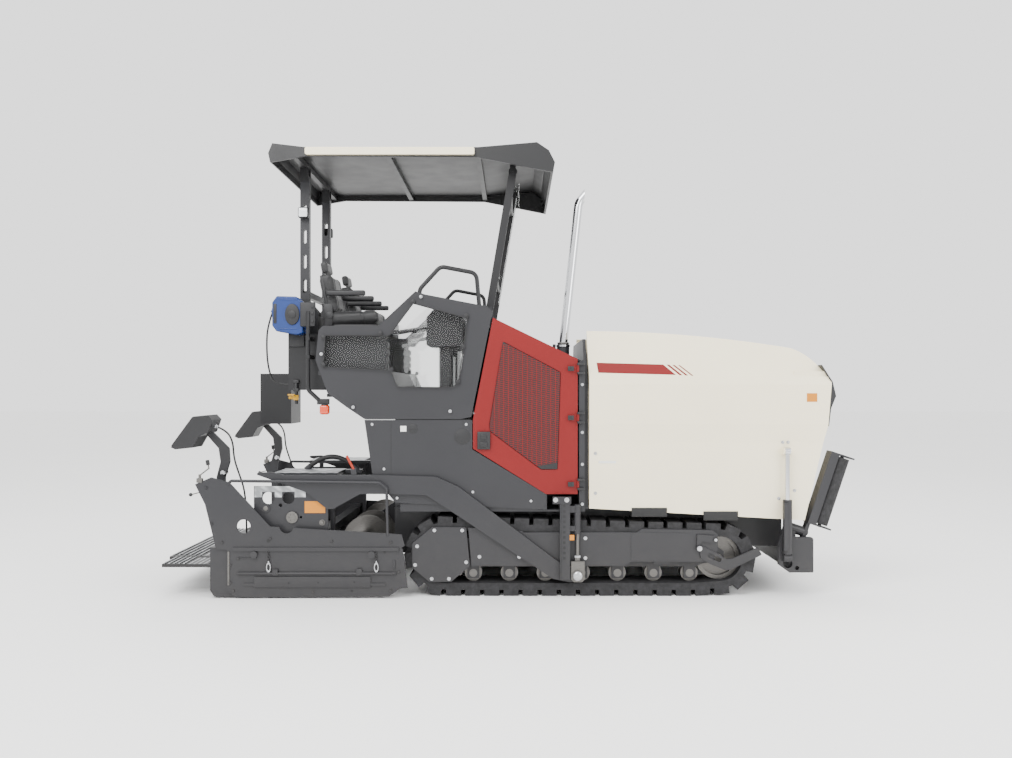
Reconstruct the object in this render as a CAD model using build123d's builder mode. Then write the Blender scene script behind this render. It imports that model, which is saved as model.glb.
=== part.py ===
"""Tracked asphalt paver: tractor on crawler tracks with a folding hopper in front, a folding roof
over the platform, and a floating screed behind, towed by two long arms.

Units are millimetres. +X points forwards, to the hopper. +Y is the machine's left and +Z is up.
The origin is on the ground, under the middle of the machine. A distance from the centre plane is
positive to either side: pieces are built on the right-hand side (-Y) and mirrored to the left.
"""

import os
from math import cos, radians, sin, tan

from build123d import *

os.makedirs("parts", exist_ok=True)

# ---------------------------------------------------------------- clearances
running_gap = 0.3  # a pin in its bore, or a piece resting against one that moves
seam_gap = 3.0  # between fixed panels
passing_gap = 6.0  # between pieces that move past each other

# ---------------------------------------------------------------- widths from the centre plane
frame_half_width = 562.0
body_outer_y = 884.0
panel_wall = 18.0
body_inner_y = body_outer_y - panel_wall
lower_panel_outer_y = body_outer_y - 4.0
arm_wall = 24.0
arm_inner_y = body_outer_y + passing_gap
arm_outer_y = arm_inner_y + arm_wall

# ---------------------------------------------------------------- crawler tracks
shoe_width, shoe_count = 280.0, 39
track_outer_y = body_inner_y - 4.0
track_inner_y = track_outer_y - shoe_width
track_middle_y = (track_inner_y + track_outer_y) / 2
sprocket_x, sprocket_z, sprocket_outer_r = -468.0, 302.0, 298.0
idler_x, idler_z, idler_outer_r = 1618.0, 282.0, 266.0
first_roller_x, last_roller_x, roller_r, roller_count = -250.0, 1400.0, 66.0, 7
pad_height, pad_length, link_height = 46.0, 112.0, 52.0
band = pad_height + link_height
wheel_width = 120.0
sprocket_teeth, tooth_height = 21, 16.0
beam_width, beam_bottom_z, beam_top_z = 172.0, 214.0, 430.0
axle_r, roller_bracket_z = 30.0, 126.0

# ---------------------------------------------------------------- chassis and hopper
chassis_rear_x, chassis_front_x = -880.0, 2141.0
chassis_bottom_z, chassis_top_z, chassis_wall = 330.0, 640.0, 30.0
bumper_front_x, bumper_bottom_z = 2320.0, 182.0
end_bore_x, end_bore_z, end_bore_r, bumper_plate_wall = 2127.0, 250.0, 35.0, 35.0
tow_eye_x, tow_eye_z, tow_eye_r, tow_eye_wall = 2368.0, 245.0, 20.0, 30.0
hopper_rear_x, hopper_front_x, hopper_floor_z = 655.0, 2200.0, 700.0
bulkhead_x, bulkhead_wall = 600.0, 24.0
hopper_floor_half_width, floor_plate_wall = 828.0, 14.0
tunnel_half_width, tunnel_top_z = 330.0, 1000.0
conveyor_width, conveyor_gap = 280.0, 60.0

# wings: hinged along X beside the hopper floor
wing_hinge_y, wing_hinge_z, knuckle_r, knuckle_length = 838.0, 682.0, 16.0, 60.0
wing_skin_y, wing_flare_y, wing_lip_y, wing_wall = 876.0, 898.0, 600.0, 14.0
wing_crease_z, wing_bevel_z, wing_top_z = 1165.0, 1600.0, 2022.0
wing_rear_x = 629.0
wing_front_x = 2451.0
hinge_stations = (760.0, 1390.0, 2000.0)

# wing cylinders, which stand outside the wings
cylinder_x, cylinder_y, foot_z, head_z = 2112.0, 925.0, 300.0, 1100.0
barrel_r, barrel_bore_r, rod_r, barrel_top_z = 34.0, 18.0, 17.5, 735.0
eye_r, eye_width, cylinder_pin_r, ear_wall = 28.0, 40.0, 12.0, 10.0
# the rod's eye is wide, so that it may drift around the pin of the wing
head_pin_r, head_bore_r = 8.0, 20.0

# push rollers: hinged along the tilted fore axis, so that they swing down and inwards
push_x, push_y, push_z, push_lean = 2262.0, 800.0, 480.0, 18.5
push_foot, push_height, push_width, push_depth, push_wall = 75.0, 575.0, 120.0, 183.0, 12.0
push_roller_r, push_roller_offset, push_pin_r = 56.0, 108.0, 18.0

# ---------------------------------------------------------------- tractor body
hood_rear_x, hood_slope_x, hood_front_x = -300.0, -110.0, 597.0
hood_rear_z, hood_front_z = 2112.0, 1771.0
hood_half_width, hood_wall = 838.0, 14.0
body_bottom_z, deck_z, deck_wall = 656.0, 1530.0, 26.0
deck_rear_x = -1420.0
door_hinge_x, door_hinge_y, door_hinge_r, door_pin_r = 543.0, 895.0, 9.0, 5.0
door_knuckle, door_hinge_heights = 26.0, (850.0, 1350.0, 1720.0)
engine_rear_x, engine_front_x, engine_half_width = -80.0, 480.0, 320.0
engine_bottom_z, engine_top_z = 1070.0, 1690.0
exhaust_x, exhaust_y, exhaust_seam_z = 455.0, 420.0, 1906.0
exhaust_top_x, exhaust_top_z, exhaust_r = 580.0, 3065.0, 34.0
exhaust_mouth = Vector(90, 0, 110)
exhaust_hinge_x, exhaust_hinge_z, exhaust_pin_r, exhaust_lug_width = 386.0, 1914.0, 7.0, 32.0
tunnel_wall = 14.0
tunnel_outer_y = tunnel_half_width + tunnel_wall
base_half_width, base_front_x, riser_x, seat_deck_z = 540.0, -306.0, -872.0, 1700.0
column_rear_x = 552.0

# ---------------------------------------------------------------- screed
tow_x, tow_z, tow_pin_r = 538.0, 168.0, 24.0
guide_rear_x, guide_front_x, guide_bottom_z, guide_top_z = 405.0, 481.0, 136.0, 701.0
guide_inner_y, guide_wall = arm_outer_y + 4.0, 20.0
level_rod_y, level_rod_r, level_barrel_r = 912.0, 14.0, 26.0
level_barrel_bottom_z, level_barrel_top_z = 480.0, 700.0
screed_front_x, screed_rear_x, screed_half_width = -1335.0, -1925.0, 880.0
sole_z, screed_box_top_z, screed_deck_z = 10.0, 330.0, 470.0
rail_depth = 6.7
extension_front_x, extension_rear_x, extension_top_z = screed_rear_x - 7.0, -2215.0, 380.0
upper_deck_z, carrier_z, bracket_x = 903.0, 386.0, -2234.0
# heating hose: a low arch between two leaning fittings, under the platform when the screed is lifted
hose_peak = Vector(-1390, -480, 1100)
hose_end_rear, hose_end_front = Vector(-1560, -480, 955), Vector(-1220, -480, 955)
hose_lean = (hose_peak - hose_end_rear).normalized()
hose_lean_front = (hose_peak - hose_end_front).normalized()
hose_fitting_rear, hose_fitting_front = hose_end_rear - hose_lean * 50, hose_end_front - hose_lean_front * 50
gate_inner_y, gate_wall = 936.0, 14.0
gate_outer_y = gate_inner_y + gate_wall
auger_x, auger_z, auger_r, auger_shaft_r, auger_stub_r = -1100.0, 392.0, 178.0, 38.0, 24.0
auger_pitch, flight_wall, auger_inner_y, auger_outer_y = 310.0, 12.0, 56.0, 800.0
walkway_z, walkway_wall, walkway_hinge_x, middle_hinge_x = 237.0, 24.0, -2232.0, -2252.0
walkway_pin_r, walkway_knuckle_r = 6.0, 11.0
side_walkway_rear_x, middle_walkway_rear_x = -2590.0, -2650.0

# ---------------------------------------------------------------- roof
post_base_x, post_base_z, post_top_z = -1616.0, 2235.0, 3255.0
post_y, post_depth, post_width, post_pin_r = 420.0, 72.0, 60.0, 14.0
strut_base = (-130.0, 2186.0)
strut_top = (52.0, 3262.0)
strut_y, strut_depth, strut_width, strut_ear_wall, strut_pin_r = 640.0, 58.0, 30.0, 12.0, 11.0
# the upper eye of the strut is wide, so that it may drift around the pin of the roof
strut_head_pin_r, strut_head_bore_r, strut_head_r = 9.0, 21.5, 33.0
slot_heights, cross_tube_z = (2391.0, 2590.0, 2789.0, 2990.0), 2331.0
pane_start, pane_end, pane_offset, pane_wall = 70.0, 1020.0, 62.0, 8.0
roof_half_width, roof_wall = 850.0, 25.0
awning_rear_x, awning_front_x, awning_bottom_z, awning_top_z = -1519.0, -239.0, 3340.0, 3395.0


# ---------------------------------------------------------------- helpers
def save(shape, name):
    """Labels a finished piece and writes it as one node."""
    shape.label = name
    export_step(shape, f"parts/{name}.step")


def save_pair(right, name):
    """Writes a right-hand piece and its mirror image as two nodes."""
    save(right, f"{name}_right")
    save(mirror(right, about=Plane.XZ), f"{name}_left")


def save_both(right, name):
    """Writes a right-hand piece and its mirror image as one node."""
    left = mirror(right, about=Plane.XZ)
    save(Compound(children=[*right.solids(), *left.solids()]), name)


def side_plane(y):
    """Plane at y to the right; sketch x is X, sketch y is Z, and extrusions go outwards."""
    return Plane(origin=(0, -y, 0), x_dir=(1, 0, 0), z_dir=(0, -1, 0))


def cross_plane(x):
    """Plane across the machine; sketch x is Y, sketch y is Z, and extrusions go forwards."""
    return Plane(origin=(x, 0, 0), x_dir=(0, 1, 0), z_dir=(1, 0, 0))


def plate(outline, inner_y, outer_y, mode=Mode.ADD, corner=0.0):
    """Upright plate along the machine, from its X-Z outline."""
    with BuildSketch(side_plane(inner_y)) as face:
        with BuildLine():
            if corner:
                FilletPolyline(*outline, radius=corner, close=True)
            else:
                Polyline(*outline, close=True)
        make_face()
    extrude(face.sketch, amount=outer_y - inner_y, mode=mode)


def box(x, y, z, mode=Mode.ADD):
    """Box between two values of X, of the distance from the centre plane, and of Z."""
    with Locations(((x[0] + x[1]) / 2, -(y[0] + y[1]) / 2, (z[0] + z[1]) / 2)):
        Box(abs(x[1] - x[0]), abs(y[1] - y[0]), abs(z[1] - z[0]), mode=mode)


def round_across(x, z, radius, inner_y, outer_y, mode=Mode.ADD):
    """Round bar or hole along Y."""
    with BuildSketch(side_plane(inner_y)) as face:
        with Locations((x, z)):
            Circle(radius)
    extrude(face.sketch, amount=outer_y - inner_y, mode=mode)


def round_along(x, y, z, radius, length, mode=Mode.ADD):
    """Round bar or hole along X, centred on a point at distance y to the right."""
    with Locations((x, -y, z)):
        Cylinder(radius, length, rotation=(0, 90, 0), mode=mode)


def round_bar(start, end, radius, mode=Mode.ADD):
    """Round bar or hole between two points."""
    first, last = Vector(*start), Vector(*end)
    with BuildSketch(Plane(origin=first, z_dir=last - first)) as face:
        Circle(radius)
    extrude(face.sketch, amount=(last - first).length, mode=mode)


def bent_tube(route, radius, bend, mode=Mode.ADD):
    """Tube along a route with equal bends."""
    with BuildLine() as path:
        FilletPolyline(*route, radius=bend)
    with BuildSketch(Plane(origin=path.line @ 0, z_dir=path.line % 0)) as face:
        Circle(radius)
    sweep(face.sketch, path=path.line, mode=mode)


def cord_tube(route, radius):
    """Tube along a cord's route, with arcs as large as the runs allow."""
    points = [Vector(*point) for point in route]
    start = points[0]
    with BuildLine() as path:
        for before, corner, after in zip(points, points[1:], points[2:]):
            arriving = (corner - before).normalized()
            leaving = (after - corner).normalized()
            reach = 0.45 * min((corner - before).length, (after - corner).length)
            half_turn = radians(arriving.get_angle(leaving) / 2)
            print(f"cord of {2 * radius} mm, bend radius {reach / tan(half_turn):.0f} mm")
            Line(start, corner - arriving * reach)
            TangentArc(corner - arriving * reach, corner + leaving * reach, tangent=arriving)
            start = corner + leaving * reach
        Line(start, points[-1])
    with BuildSketch(Plane(origin=path.line @ 0, z_dir=path.line % 0)) as face:
        Circle(radius)
    sweep(face.sketch, path=path.line)


def hood_z(x):
    """Height of the hood's sloping top."""
    share = (x - hood_slope_x) / (hood_front_x - hood_slope_x)
    return hood_rear_z + (hood_front_z - hood_rear_z) * share


# ---------------------------------------------------------------- crawler tracks
def loop_face(depth):
    """Hull of the wheels and rollers, taken in from the pads' faces by a depth."""
    with BuildSketch(side_plane(track_inner_y)) as face:
        with Locations((sprocket_x, sprocket_z)):
            Circle(sprocket_outer_r - depth)
        with Locations((idler_x, idler_z)):
            Circle(idler_outer_r - depth)
        with Locations((first_roller_x, roller_r + band), (last_roller_x, roller_r + band)):
            Circle(roller_r + band - depth)
        make_hull()
    return face.sketch


shoe_line = loop_face(pad_height).faces()[0].outer_wire()
with BuildPart() as track_loop:
    extrude(loop_face(pad_height), amount=shoe_width)
    for i in range(shoe_count):
        here = Plane(
            origin=shoe_line.position_at(i / shoe_count),
            x_dir=shoe_line.tangent_at(i / shoe_count),
            z_dir=(0, -1, 0),
        )
        with BuildSketch(here) as shoe:
            Rectangle(pad_length, 2 * pad_height)
        extrude(shoe.sketch, amount=shoe_width)
    extrude(loop_face(band), amount=shoe_width, mode=Mode.SUBTRACT)
save_both(track_loop.part, "track_loops")

# wheels inside each loop: toothed sprocket, plain idler and flanged rollers
sprocket_r = sprocket_outer_r - band - running_gap
idler_r = idler_outer_r - band - running_gap
wheel_inner_y = track_middle_y - wheel_width / 2
wheel_outer_y = track_middle_y + wheel_width / 2
beam_inner_y = track_middle_y - beam_width / 2
beam_outer_y = track_middle_y + beam_width / 2
with BuildPart() as track_wheels:
    with BuildSketch(side_plane(wheel_inner_y)) as teeth:
        with Locations((sprocket_x, sprocket_z)):
            Circle(sprocket_r - tooth_height)
            with PolarLocations(sprocket_r - tooth_height, sprocket_teeth):
                Rectangle(2 * tooth_height, 1.4 * tooth_height)
        with Locations((sprocket_x, sprocket_z)):
            Circle(sprocket_r, mode=Mode.INTERSECT)
    extrude(teeth.sketch, amount=wheel_width)
    round_across(idler_x, idler_z, idler_r, wheel_inner_y, wheel_outer_y)
    round_across(idler_x, idler_z, idler_r - 30, wheel_inner_y - 1, wheel_inner_y + 30, Mode.SUBTRACT)
    round_across(idler_x, idler_z, idler_r - 30, wheel_outer_y - 30, wheel_outer_y + 1, Mode.SUBTRACT)
    round_across(idler_x, idler_z, 48, wheel_inner_y, wheel_outer_y)
    round_across(idler_x, idler_z, axle_r, beam_inner_y, beam_outer_y)
    for i in range(roller_count):
        roller_x = first_roller_x + (last_roller_x - first_roller_x) * i / (roller_count - 1)
        roller_z = roller_r + band + running_gap
        round_across(roller_x, roller_z, roller_r, wheel_inner_y, wheel_outer_y)
        round_across(roller_x, roller_z, axle_r, beam_inner_y, beam_outer_y)
save_both(track_wheels.part, "track_wheels")

# beam, drive housing, side covers and the guard bar in front of the idler
with BuildPart() as track_frame:
    beam = [(-300, beam_top_z), (1440, beam_top_z), (1560, 400), (1660, 330), (1660, 262), (1500, 236),
            (1440, beam_bottom_z), (-270, beam_bottom_z)]
    plate(beam, beam_inner_y, beam_outer_y)
    for i in range(roller_count):
        roller_x = first_roller_x + (last_roller_x - first_roller_x) * i / (roller_count - 1)
        box((roller_x - 45, roller_x + 45), (beam_inner_y, beam_outer_y),
            (roller_bracket_z, beam_bottom_z + 1))
        box((roller_x - roller_r - 8, roller_x + roller_r + 8), (wheel_inner_y - 2, wheel_outer_y + 2),
            (roller_bracket_z - 1, roller_z + roller_r + 8), Mode.SUBTRACT)
        round_across(roller_x, roller_z, axle_r + running_gap, beam_inner_y - 1, beam_outer_y + 1,
                     Mode.SUBTRACT)
    round_across(idler_x, idler_z, idler_r + 8, wheel_inner_y - 2, wheel_outer_y + 2, Mode.SUBTRACT)
    round_across(idler_x, idler_z, axle_r + running_gap, beam_inner_y - 1, beam_outer_y + 1,
                 Mode.SUBTRACT)
    round_across(sprocket_x, sprocket_z, sprocket_r + 8, wheel_inner_y - 2, wheel_outer_y + 2,
                 Mode.SUBTRACT)
    for x in (0, 620, 1180):
        box((x - 80, x + 80), (frame_half_width, beam_inner_y), (beam_bottom_z + 30, beam_top_z - 20))
        box((x - 60, x + 60), (beam_outer_y, body_inner_y), (beam_bottom_z + 30, beam_top_z - 20))
    round_across(sprocket_x, sprocket_z, 110, frame_half_width, wheel_inner_y - running_gap)
save_both(track_frame.part, "track_frames")

drive_guard = [(-707, 400), (-556, 524), (-300, 524), (-272, 231), (-413, 112), (-579, 112),
               (-707, 219)]
beam_cover = [(-285, 520), (130, 494), (130, 484), (987, 484), (1030, 510), (1560, 500),
              (1600, 470), (1600, 350), (1560, 262), (940, 262), (900, 231), (-260, 231)]
with BuildPart() as track_cover:
    plate(drive_guard, track_outer_y + 2, body_outer_y, corner=18)
    plate(beam_cover, body_inner_y, body_outer_y - 6)
    # hub of the drive motor, which carries the guard
    round_across(sprocket_x, sprocket_z, 105, wheel_outer_y + running_gap, track_outer_y + 2)

bar_y = body_outer_y - 6
with BuildPart() as track_guard:
    guard_bar = [(1452, 395), (1470, 292), (1540, 246), (1660, 200), (1700, 208), (1930, 318),
                 (1898, 372), (1700, 286), (1660, 286), (1590, 330), (1560, 345)]
    plate(guard_bar, bar_y, bar_y + 16, corner=10)
    with BuildSketch(side_plane(bar_y)) as slot:
        with Locations(Location((1572, 296), -25)):
            SlotOverall(110, 32)
    extrude(slot.sketch, amount=16, mode=Mode.SUBTRACT)
    plate([(1440, 470), (1580, 462), (1590, 420), (1560, 405), (1480, 420), (1440, 350)],
          bar_y, bar_y + 16, corner=10)
    round_across(1457, 366, 24, bar_y, bar_y + 26)
    round_across(1578, 431, 14, bar_y, bar_y + 26)
save_both(Compound(children=[*track_cover.part.solids(), *track_guard.part.solids()]), "track_covers")

# ---------------------------------------------------------------- chassis between the tracks
with BuildPart() as chassis:
    box((chassis_rear_x, chassis_front_x), (-frame_half_width, frame_half_width),
        (chassis_bottom_z, chassis_top_z))
    box((chassis_rear_x + chassis_wall, chassis_front_x - chassis_wall),
        (chassis_wall - frame_half_width, frame_half_width - chassis_wall),
        (chassis_bottom_z - 1, chassis_top_z - chassis_wall), Mode.SUBTRACT)
    for x in (-500, 0, 500, 1000, 1500):
        box((x - 15, x + 15), (20 - frame_half_width, frame_half_width - 20),
            (chassis_bottom_z + 30, chassis_top_z - 20))
    # tunnel of the conveyor, with the engine's bearers on top
    for side in (-1, 1):
        wall_y = side * (tunnel_half_width + tunnel_wall / 2)
        box((chassis_rear_x, bulkhead_x), (wall_y - tunnel_wall / 2, wall_y + tunnel_wall / 2),
            (chassis_top_z, tunnel_top_z))
    box((chassis_rear_x, bulkhead_x), (-tunnel_outer_y, tunnel_outer_y),
        (tunnel_top_z, tunnel_top_z + tunnel_wall))
    for x in (engine_rear_x + 60, engine_front_x - 60):
        box((x - 40, x + 40), (-engine_half_width, engine_half_width),
            (tunnel_top_z + tunnel_wall, engine_bottom_z))
    # gearbox and stub shafts of the augers, behind the chassis
    plate([(-1140, auger_z - 60), (-1060, auger_z - 60), (-880, 420), (-880, chassis_top_z),
           (-920, chassis_top_z), (-1160, 460)], -44, 44, corner=14)
    round_across(auger_x, auger_z, 62, -48, 48)
    round_across(auger_x, auger_z, auger_stub_r, -auger_inner_y - 80, auger_inner_y + 80)
save(chassis.part, "chassis_frame")

# bumper beam in front, with its end blocks, tow bores and the clevises of the wing cylinders
bumper_outer_y = body_outer_y + 1
bumper_inner_y = bumper_outer_y - bumper_plate_wall
end_block = [(2056, 242), (2056, 400), (2098, 530), (2130, 545), (2160, 470), (2180, 448), (2308, 448),
             (bumper_front_x, 436), (bumper_front_x, bumper_bottom_z), (2138, bumper_bottom_z)]
with BuildPart() as bumper:
    box((chassis_front_x, bumper_front_x), (0, bumper_inner_y), (200, 360))
    box((chassis_front_x, chassis_front_x + 30), (0, frame_half_width), (chassis_bottom_z, 620))
    plate(end_block, bumper_inner_y, bumper_outer_y, corner=8)
    # support and housing of the push arm's hinge
    box((2150, 2200), (push_y - 35, push_y + 35), (350, 505))
    housing = Vector(push_x, -push_y, push_z)
    fore = Vector(cos(radians(push_lean)), 0, -sin(radians(push_lean)))
    round_bar(housing - fore * 100, housing - fore * running_gap, 38)
    round_bar(housing - fore * 50, housing + fore * 40, push_pin_r)
    # clevis of the wing cylinder
    for side in (-1, 1):
        ear_x = cylinder_x + side * (eye_width + ear_wall + 2 * running_gap) / 2
        box((ear_x - ear_wall / 2, ear_x + ear_wall / 2), (bumper_outer_y - 5, cylinder_y),
            (foot_z - eye_r, foot_z + eye_r))
        round_along(ear_x, cylinder_y, foot_z, eye_r, ear_wall)
    round_along(cylinder_x, cylinder_y, foot_z, cylinder_pin_r, eye_width + 2 * ear_wall)
    round_across(end_bore_x, end_bore_z, end_bore_r, bumper_inner_y - 1, bumper_outer_y + 1,
                 Mode.SUBTRACT)
    round_across(end_bore_x + 69, end_bore_z - 34, 16, bumper_inner_y - 1, bumper_outer_y + 1,
                 Mode.SUBTRACT)
    mirror(about=Plane.XZ)
    # towing eye, with its upright hole
    with BuildSketch(Plane.XY.offset(tow_eye_z)) as eye:
        with Locations(((bumper_front_x + tow_eye_x) / 2, 0)):
            Rectangle(tow_eye_x - bumper_front_x + 4, 90)
        with Locations((tow_eye_x, 0)):
            Circle(45)
            Circle(tow_eye_r, mode=Mode.SUBTRACT)
    extrude(eye.sketch, amount=tow_eye_wall)
save(bumper.part, "front_bumper")

# ---------------------------------------------------------------- hopper
with BuildPart() as hopper_floor:
    box((hopper_rear_x, hopper_front_x), (conveyor_gap / 2 + conveyor_width + seam_gap,
        hopper_floor_half_width), (hopper_floor_z, hopper_floor_z + floor_plate_wall))
    box((hopper_rear_x, 2100), (frame_half_width - 60, frame_half_width),
        (chassis_top_z, hopper_floor_z))
    # front apron, which slopes down to the bumper
    plate([(hopper_front_x - 10, hopper_floor_z + floor_plate_wall), (hopper_front_x + 10, hopper_floor_z),
           (bumper_front_x - 80, 560), (bumper_front_x - 92, 560), (hopper_front_x - 10, hopper_floor_z)],
          conveyor_gap / 2 + conveyor_width + seam_gap, 690)
    for x in hinge_stations:
        round_along(x - knuckle_length / 2 - 1, wing_hinge_y, wing_hinge_z, knuckle_r, knuckle_length)
        round_along(x, wing_hinge_y, wing_hinge_z, knuckle_r / 2, 2 * knuckle_length)
        box((x - knuckle_length - 1, x - 1), (hopper_floor_half_width - 30, wing_hinge_y),
            (wing_hinge_z + 4, hopper_floor_z + 4))
    mirror(about=Plane.XZ)
save(hopper_floor.part, "hopper_floor")

bulkhead_outline = [(-840, body_bottom_z), (-frame_half_width, body_bottom_z),
                    (-frame_half_width, chassis_top_z), (frame_half_width, chassis_top_z),
                    (frame_half_width, body_bottom_z), (840, body_bottom_z), (840, wing_bevel_z),
                    (575, 1960), (-575, 1960), (-840, wing_bevel_z)]
with BuildPart() as bulkhead:
    with BuildSketch(cross_plane(bulkhead_x)) as face:
        with BuildLine():
            Polyline(*bulkhead_outline, close=True)
        make_face()
        with Locations((0, (chassis_top_z + tunnel_top_z) / 2)):
            Rectangle(2 * tunnel_half_width, tunnel_top_z - chassis_top_z, mode=Mode.SUBTRACT)
    extrude(amount=bulkhead_wall)
save(bulkhead.part, "hopper_bulkhead")

bar_pitch, bar_width, bar_height = 170.0, 36.0, 20.0
conveyor_rear_x, conveyor_front_x = chassis_rear_x + 20, hopper_front_x - 10
with BuildPart() as conveyor:
    box((conveyor_rear_x, conveyor_front_x), (conveyor_gap / 2, conveyor_gap / 2 + conveyor_width),
        (chassis_top_z, hopper_floor_z - 6))
    for i in range(int((conveyor_front_x - conveyor_rear_x) / bar_pitch)):
        x = conveyor_rear_x + bar_pitch * (i + 0.5)
        box((x - bar_width / 2, x + bar_width / 2), (conveyor_gap / 2, conveyor_gap / 2 + conveyor_width),
            (hopper_floor_z - 7, hopper_floor_z + bar_height))
save_both(conveyor.part, "conveyor")

lamp_inner_y = 806.0
lamp_outline = [(2380, 1750), (2462, 1622), (2488, 1514), (2450, 1420), (2434, 1285), (2427, 1285),
                (2455, 1617), (2375, 1746)]

# wing: folded side walls, as a pressed section along X trimmed by the side outline
skin = [(wing_skin_y, 560), (wing_skin_y, wing_crease_z), (wing_flare_y, 1300),
        (wing_flare_y, wing_bevel_z), (wing_skin_y + 4, 1660), (wing_lip_y, wing_top_z)]
with BuildPart() as wing:
    # front frame, which carries the lamp
    box((2180, wing_front_x + 10), (806, wing_skin_y - wing_wall / 2), (1180, 1700))
    box((2100, wing_front_x - 24), (800, wing_skin_y - wing_wall - 6), (1170, 1710), Mode.SUBTRACT)
    with BuildSketch(cross_plane(wing_rear_x)) as section:
        with BuildLine():
            outer = [(-y, z) for y, z in skin]
            inner = [(-y + wing_wall, z - 4) for y, z in skin]
            Polyline(*outer, *reversed(inner), close=True)
        make_face()
    extrude(section.sketch, amount=wing_front_x - wing_rear_x + 10)
    # rear gable
    with BuildSketch(cross_plane(wing_rear_x)) as gable:
        with BuildLine():
            Polyline((-wing_skin_y + 4, 725), (-wing_skin_y + 4, wing_crease_z),
                     (-wing_flare_y + 4, 1300), (-wing_flare_y + 4, wing_bevel_z),
                     (-wing_skin_y, 1658), (-wing_lip_y - 4, 2016), (-wing_lip_y, 1760), (-800, 1540),
                     (-800, 725), close=True)
        make_face()
    extrude(gable.sketch, amount=12)
    with BuildSketch(side_plane(400)) as outline:
        with BuildLine():
            Line((wing_rear_x, 665), (wing_rear_x, wing_top_z))
            ThreePointArc((wing_rear_x, wing_top_z), (1420, 1987), (2199, 1884))
            ThreePointArc((2199, 1884), (2305, 1822), lamp_outline[-1])
            Polyline(lamp_outline[-1], lamp_outline[-2], lamp_outline[-3], (2285, 693), (2257, 575),
                     (wing_rear_x, 665))
        make_face()
    extrude(outline.sketch, amount=600, mode=Mode.INTERSECT)
    for x in hinge_stations:
        knuckle_x = x + knuckle_length / 2
        round_along(knuckle_x, wing_hinge_y, wing_hinge_z, knuckle_r, knuckle_length - 2)
        box((x + 1, x + knuckle_length - 1), (wing_hinge_y, wing_skin_y - wing_wall + 2),
            (wing_hinge_z - 9, wing_hinge_z + 9))
        round_along(knuckle_x, wing_hinge_y, wing_hinge_z, knuckle_r / 2 + running_gap,
                    2 * knuckle_length, Mode.SUBTRACT)
    # clevis of the cylinder's head
    for side in (-1, 1):
        ear_x = cylinder_x + side * (eye_width + ear_wall + 2 * running_gap) / 2
        box((ear_x - ear_wall / 2, ear_x + ear_wall / 2), (wing_skin_y - 4, cylinder_y),
            (head_z - 24, head_z + 24))
        round_along(ear_x, cylinder_y, head_z, 24, ear_wall)
    round_along(cylinder_x, cylinder_y, head_z, head_pin_r, eye_width + 2 * ear_wall)
save_pair(wing.part, "hopper_wing")

# lamp strip around the wing's nose
with BuildPart() as wing_lamp:
    plate(lamp_outline, lamp_inner_y, wing_flare_y - 2)
save_pair(wing_lamp.part, "wing_lamp")

with BuildPart() as barrel:
    with Locations((cylinder_x, -cylinder_y, (foot_z + barrel_top_z) / 2)):
        Cylinder(barrel_r, barrel_top_z - foot_z)
    box((cylinder_x - 36, cylinder_x - 4), (cylinder_y + 20, cylinder_y + 44),
        (foot_z + 60, barrel_top_z - 20))
    with Locations((cylinder_x, -cylinder_y, (foot_z + 80 + barrel_top_z) / 2)):
        Cylinder(barrel_bore_r, barrel_top_z - foot_z - 80 + 0.2, mode=Mode.SUBTRACT)
    box((cylinder_x - 60, cylinder_x + 60), (cylinder_y - 60, cylinder_y + 60),
        (foot_z - 60, foot_z + eye_r + 4),
        Mode.SUBTRACT)
    round_along(cylinder_x, cylinder_y, foot_z, eye_r, eye_width)
    box((cylinder_x - eye_width / 2, cylinder_x + eye_width / 2), (cylinder_y - 18, cylinder_y + 18),
        (foot_z, foot_z + eye_r + 8))
    round_along(cylinder_x, cylinder_y, foot_z, cylinder_pin_r + running_gap, 2 * eye_width, Mode.SUBTRACT)
save_pair(barrel.part, "wing_cylinder_barrel")

with BuildPart() as ram:
    round_bar((cylinder_x, -cylinder_y, foot_z + 220), (cylinder_x, -cylinder_y, head_z - 10), rod_r)
    round_along(cylinder_x, cylinder_y, head_z, eye_r, eye_width)
    round_along(cylinder_x, cylinder_y, head_z, head_bore_r, 2 * eye_width, Mode.SUBTRACT)
save_pair(ram.part, "wing_cylinder_rod")

# ---------------------------------------------------------------- push rollers
# local axes: x is fore, along the hinge; z is up along the roller
push_axes = Plane(
    origin=(push_x, -push_y, push_z),
    x_dir=(cos(radians(push_lean)), 0, -sin(radians(push_lean))),
    z_dir=(sin(radians(push_lean)), 0, cos(radians(push_lean))),
)
with BuildPart(push_axes) as push_arm:
    with Locations((push_wall / 2, 0, push_foot + push_height / 2)):
        Box(push_wall, push_width, push_height)
    for z in (push_foot + push_wall / 2, push_foot + push_height - push_wall / 2):
        with Locations((push_depth / 2, 0, z)):
            Box(push_depth, push_width, push_wall)
    for side in (-1, 1):
        with Locations((32, side * (push_width - push_wall) / 2, push_foot + push_height / 2)):
            Box(64, push_wall, push_height)
    # foot with the hinge bore
    with Locations((14, 0, 30)):
        Box(28, 70, 110)
    with Locations((14, 0, -20)):
        Cylinder(35, 28, rotation=(0, 90, 0))
    with Locations((14, 0, 0)):
        Cylinder(push_pin_r + running_gap, 40, rotation=(0, 90, 0), mode=Mode.SUBTRACT)
    for z in (push_foot + push_wall, push_foot + push_height - push_wall):
        with Locations((push_roller_offset, 0, z)):
            Cylinder(14, 30)
save_pair(push_arm.part, "push_arm")
with BuildPart(push_axes) as push_roller:
    with Locations((push_roller_offset, 0, push_foot + push_height / 2)):
        Cylinder(push_roller_r, push_height - 2 * push_wall - 20)
        Cylinder(14 + running_gap, push_height, mode=Mode.SUBTRACT)
save_pair(push_roller.part, "push_roller")

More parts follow.
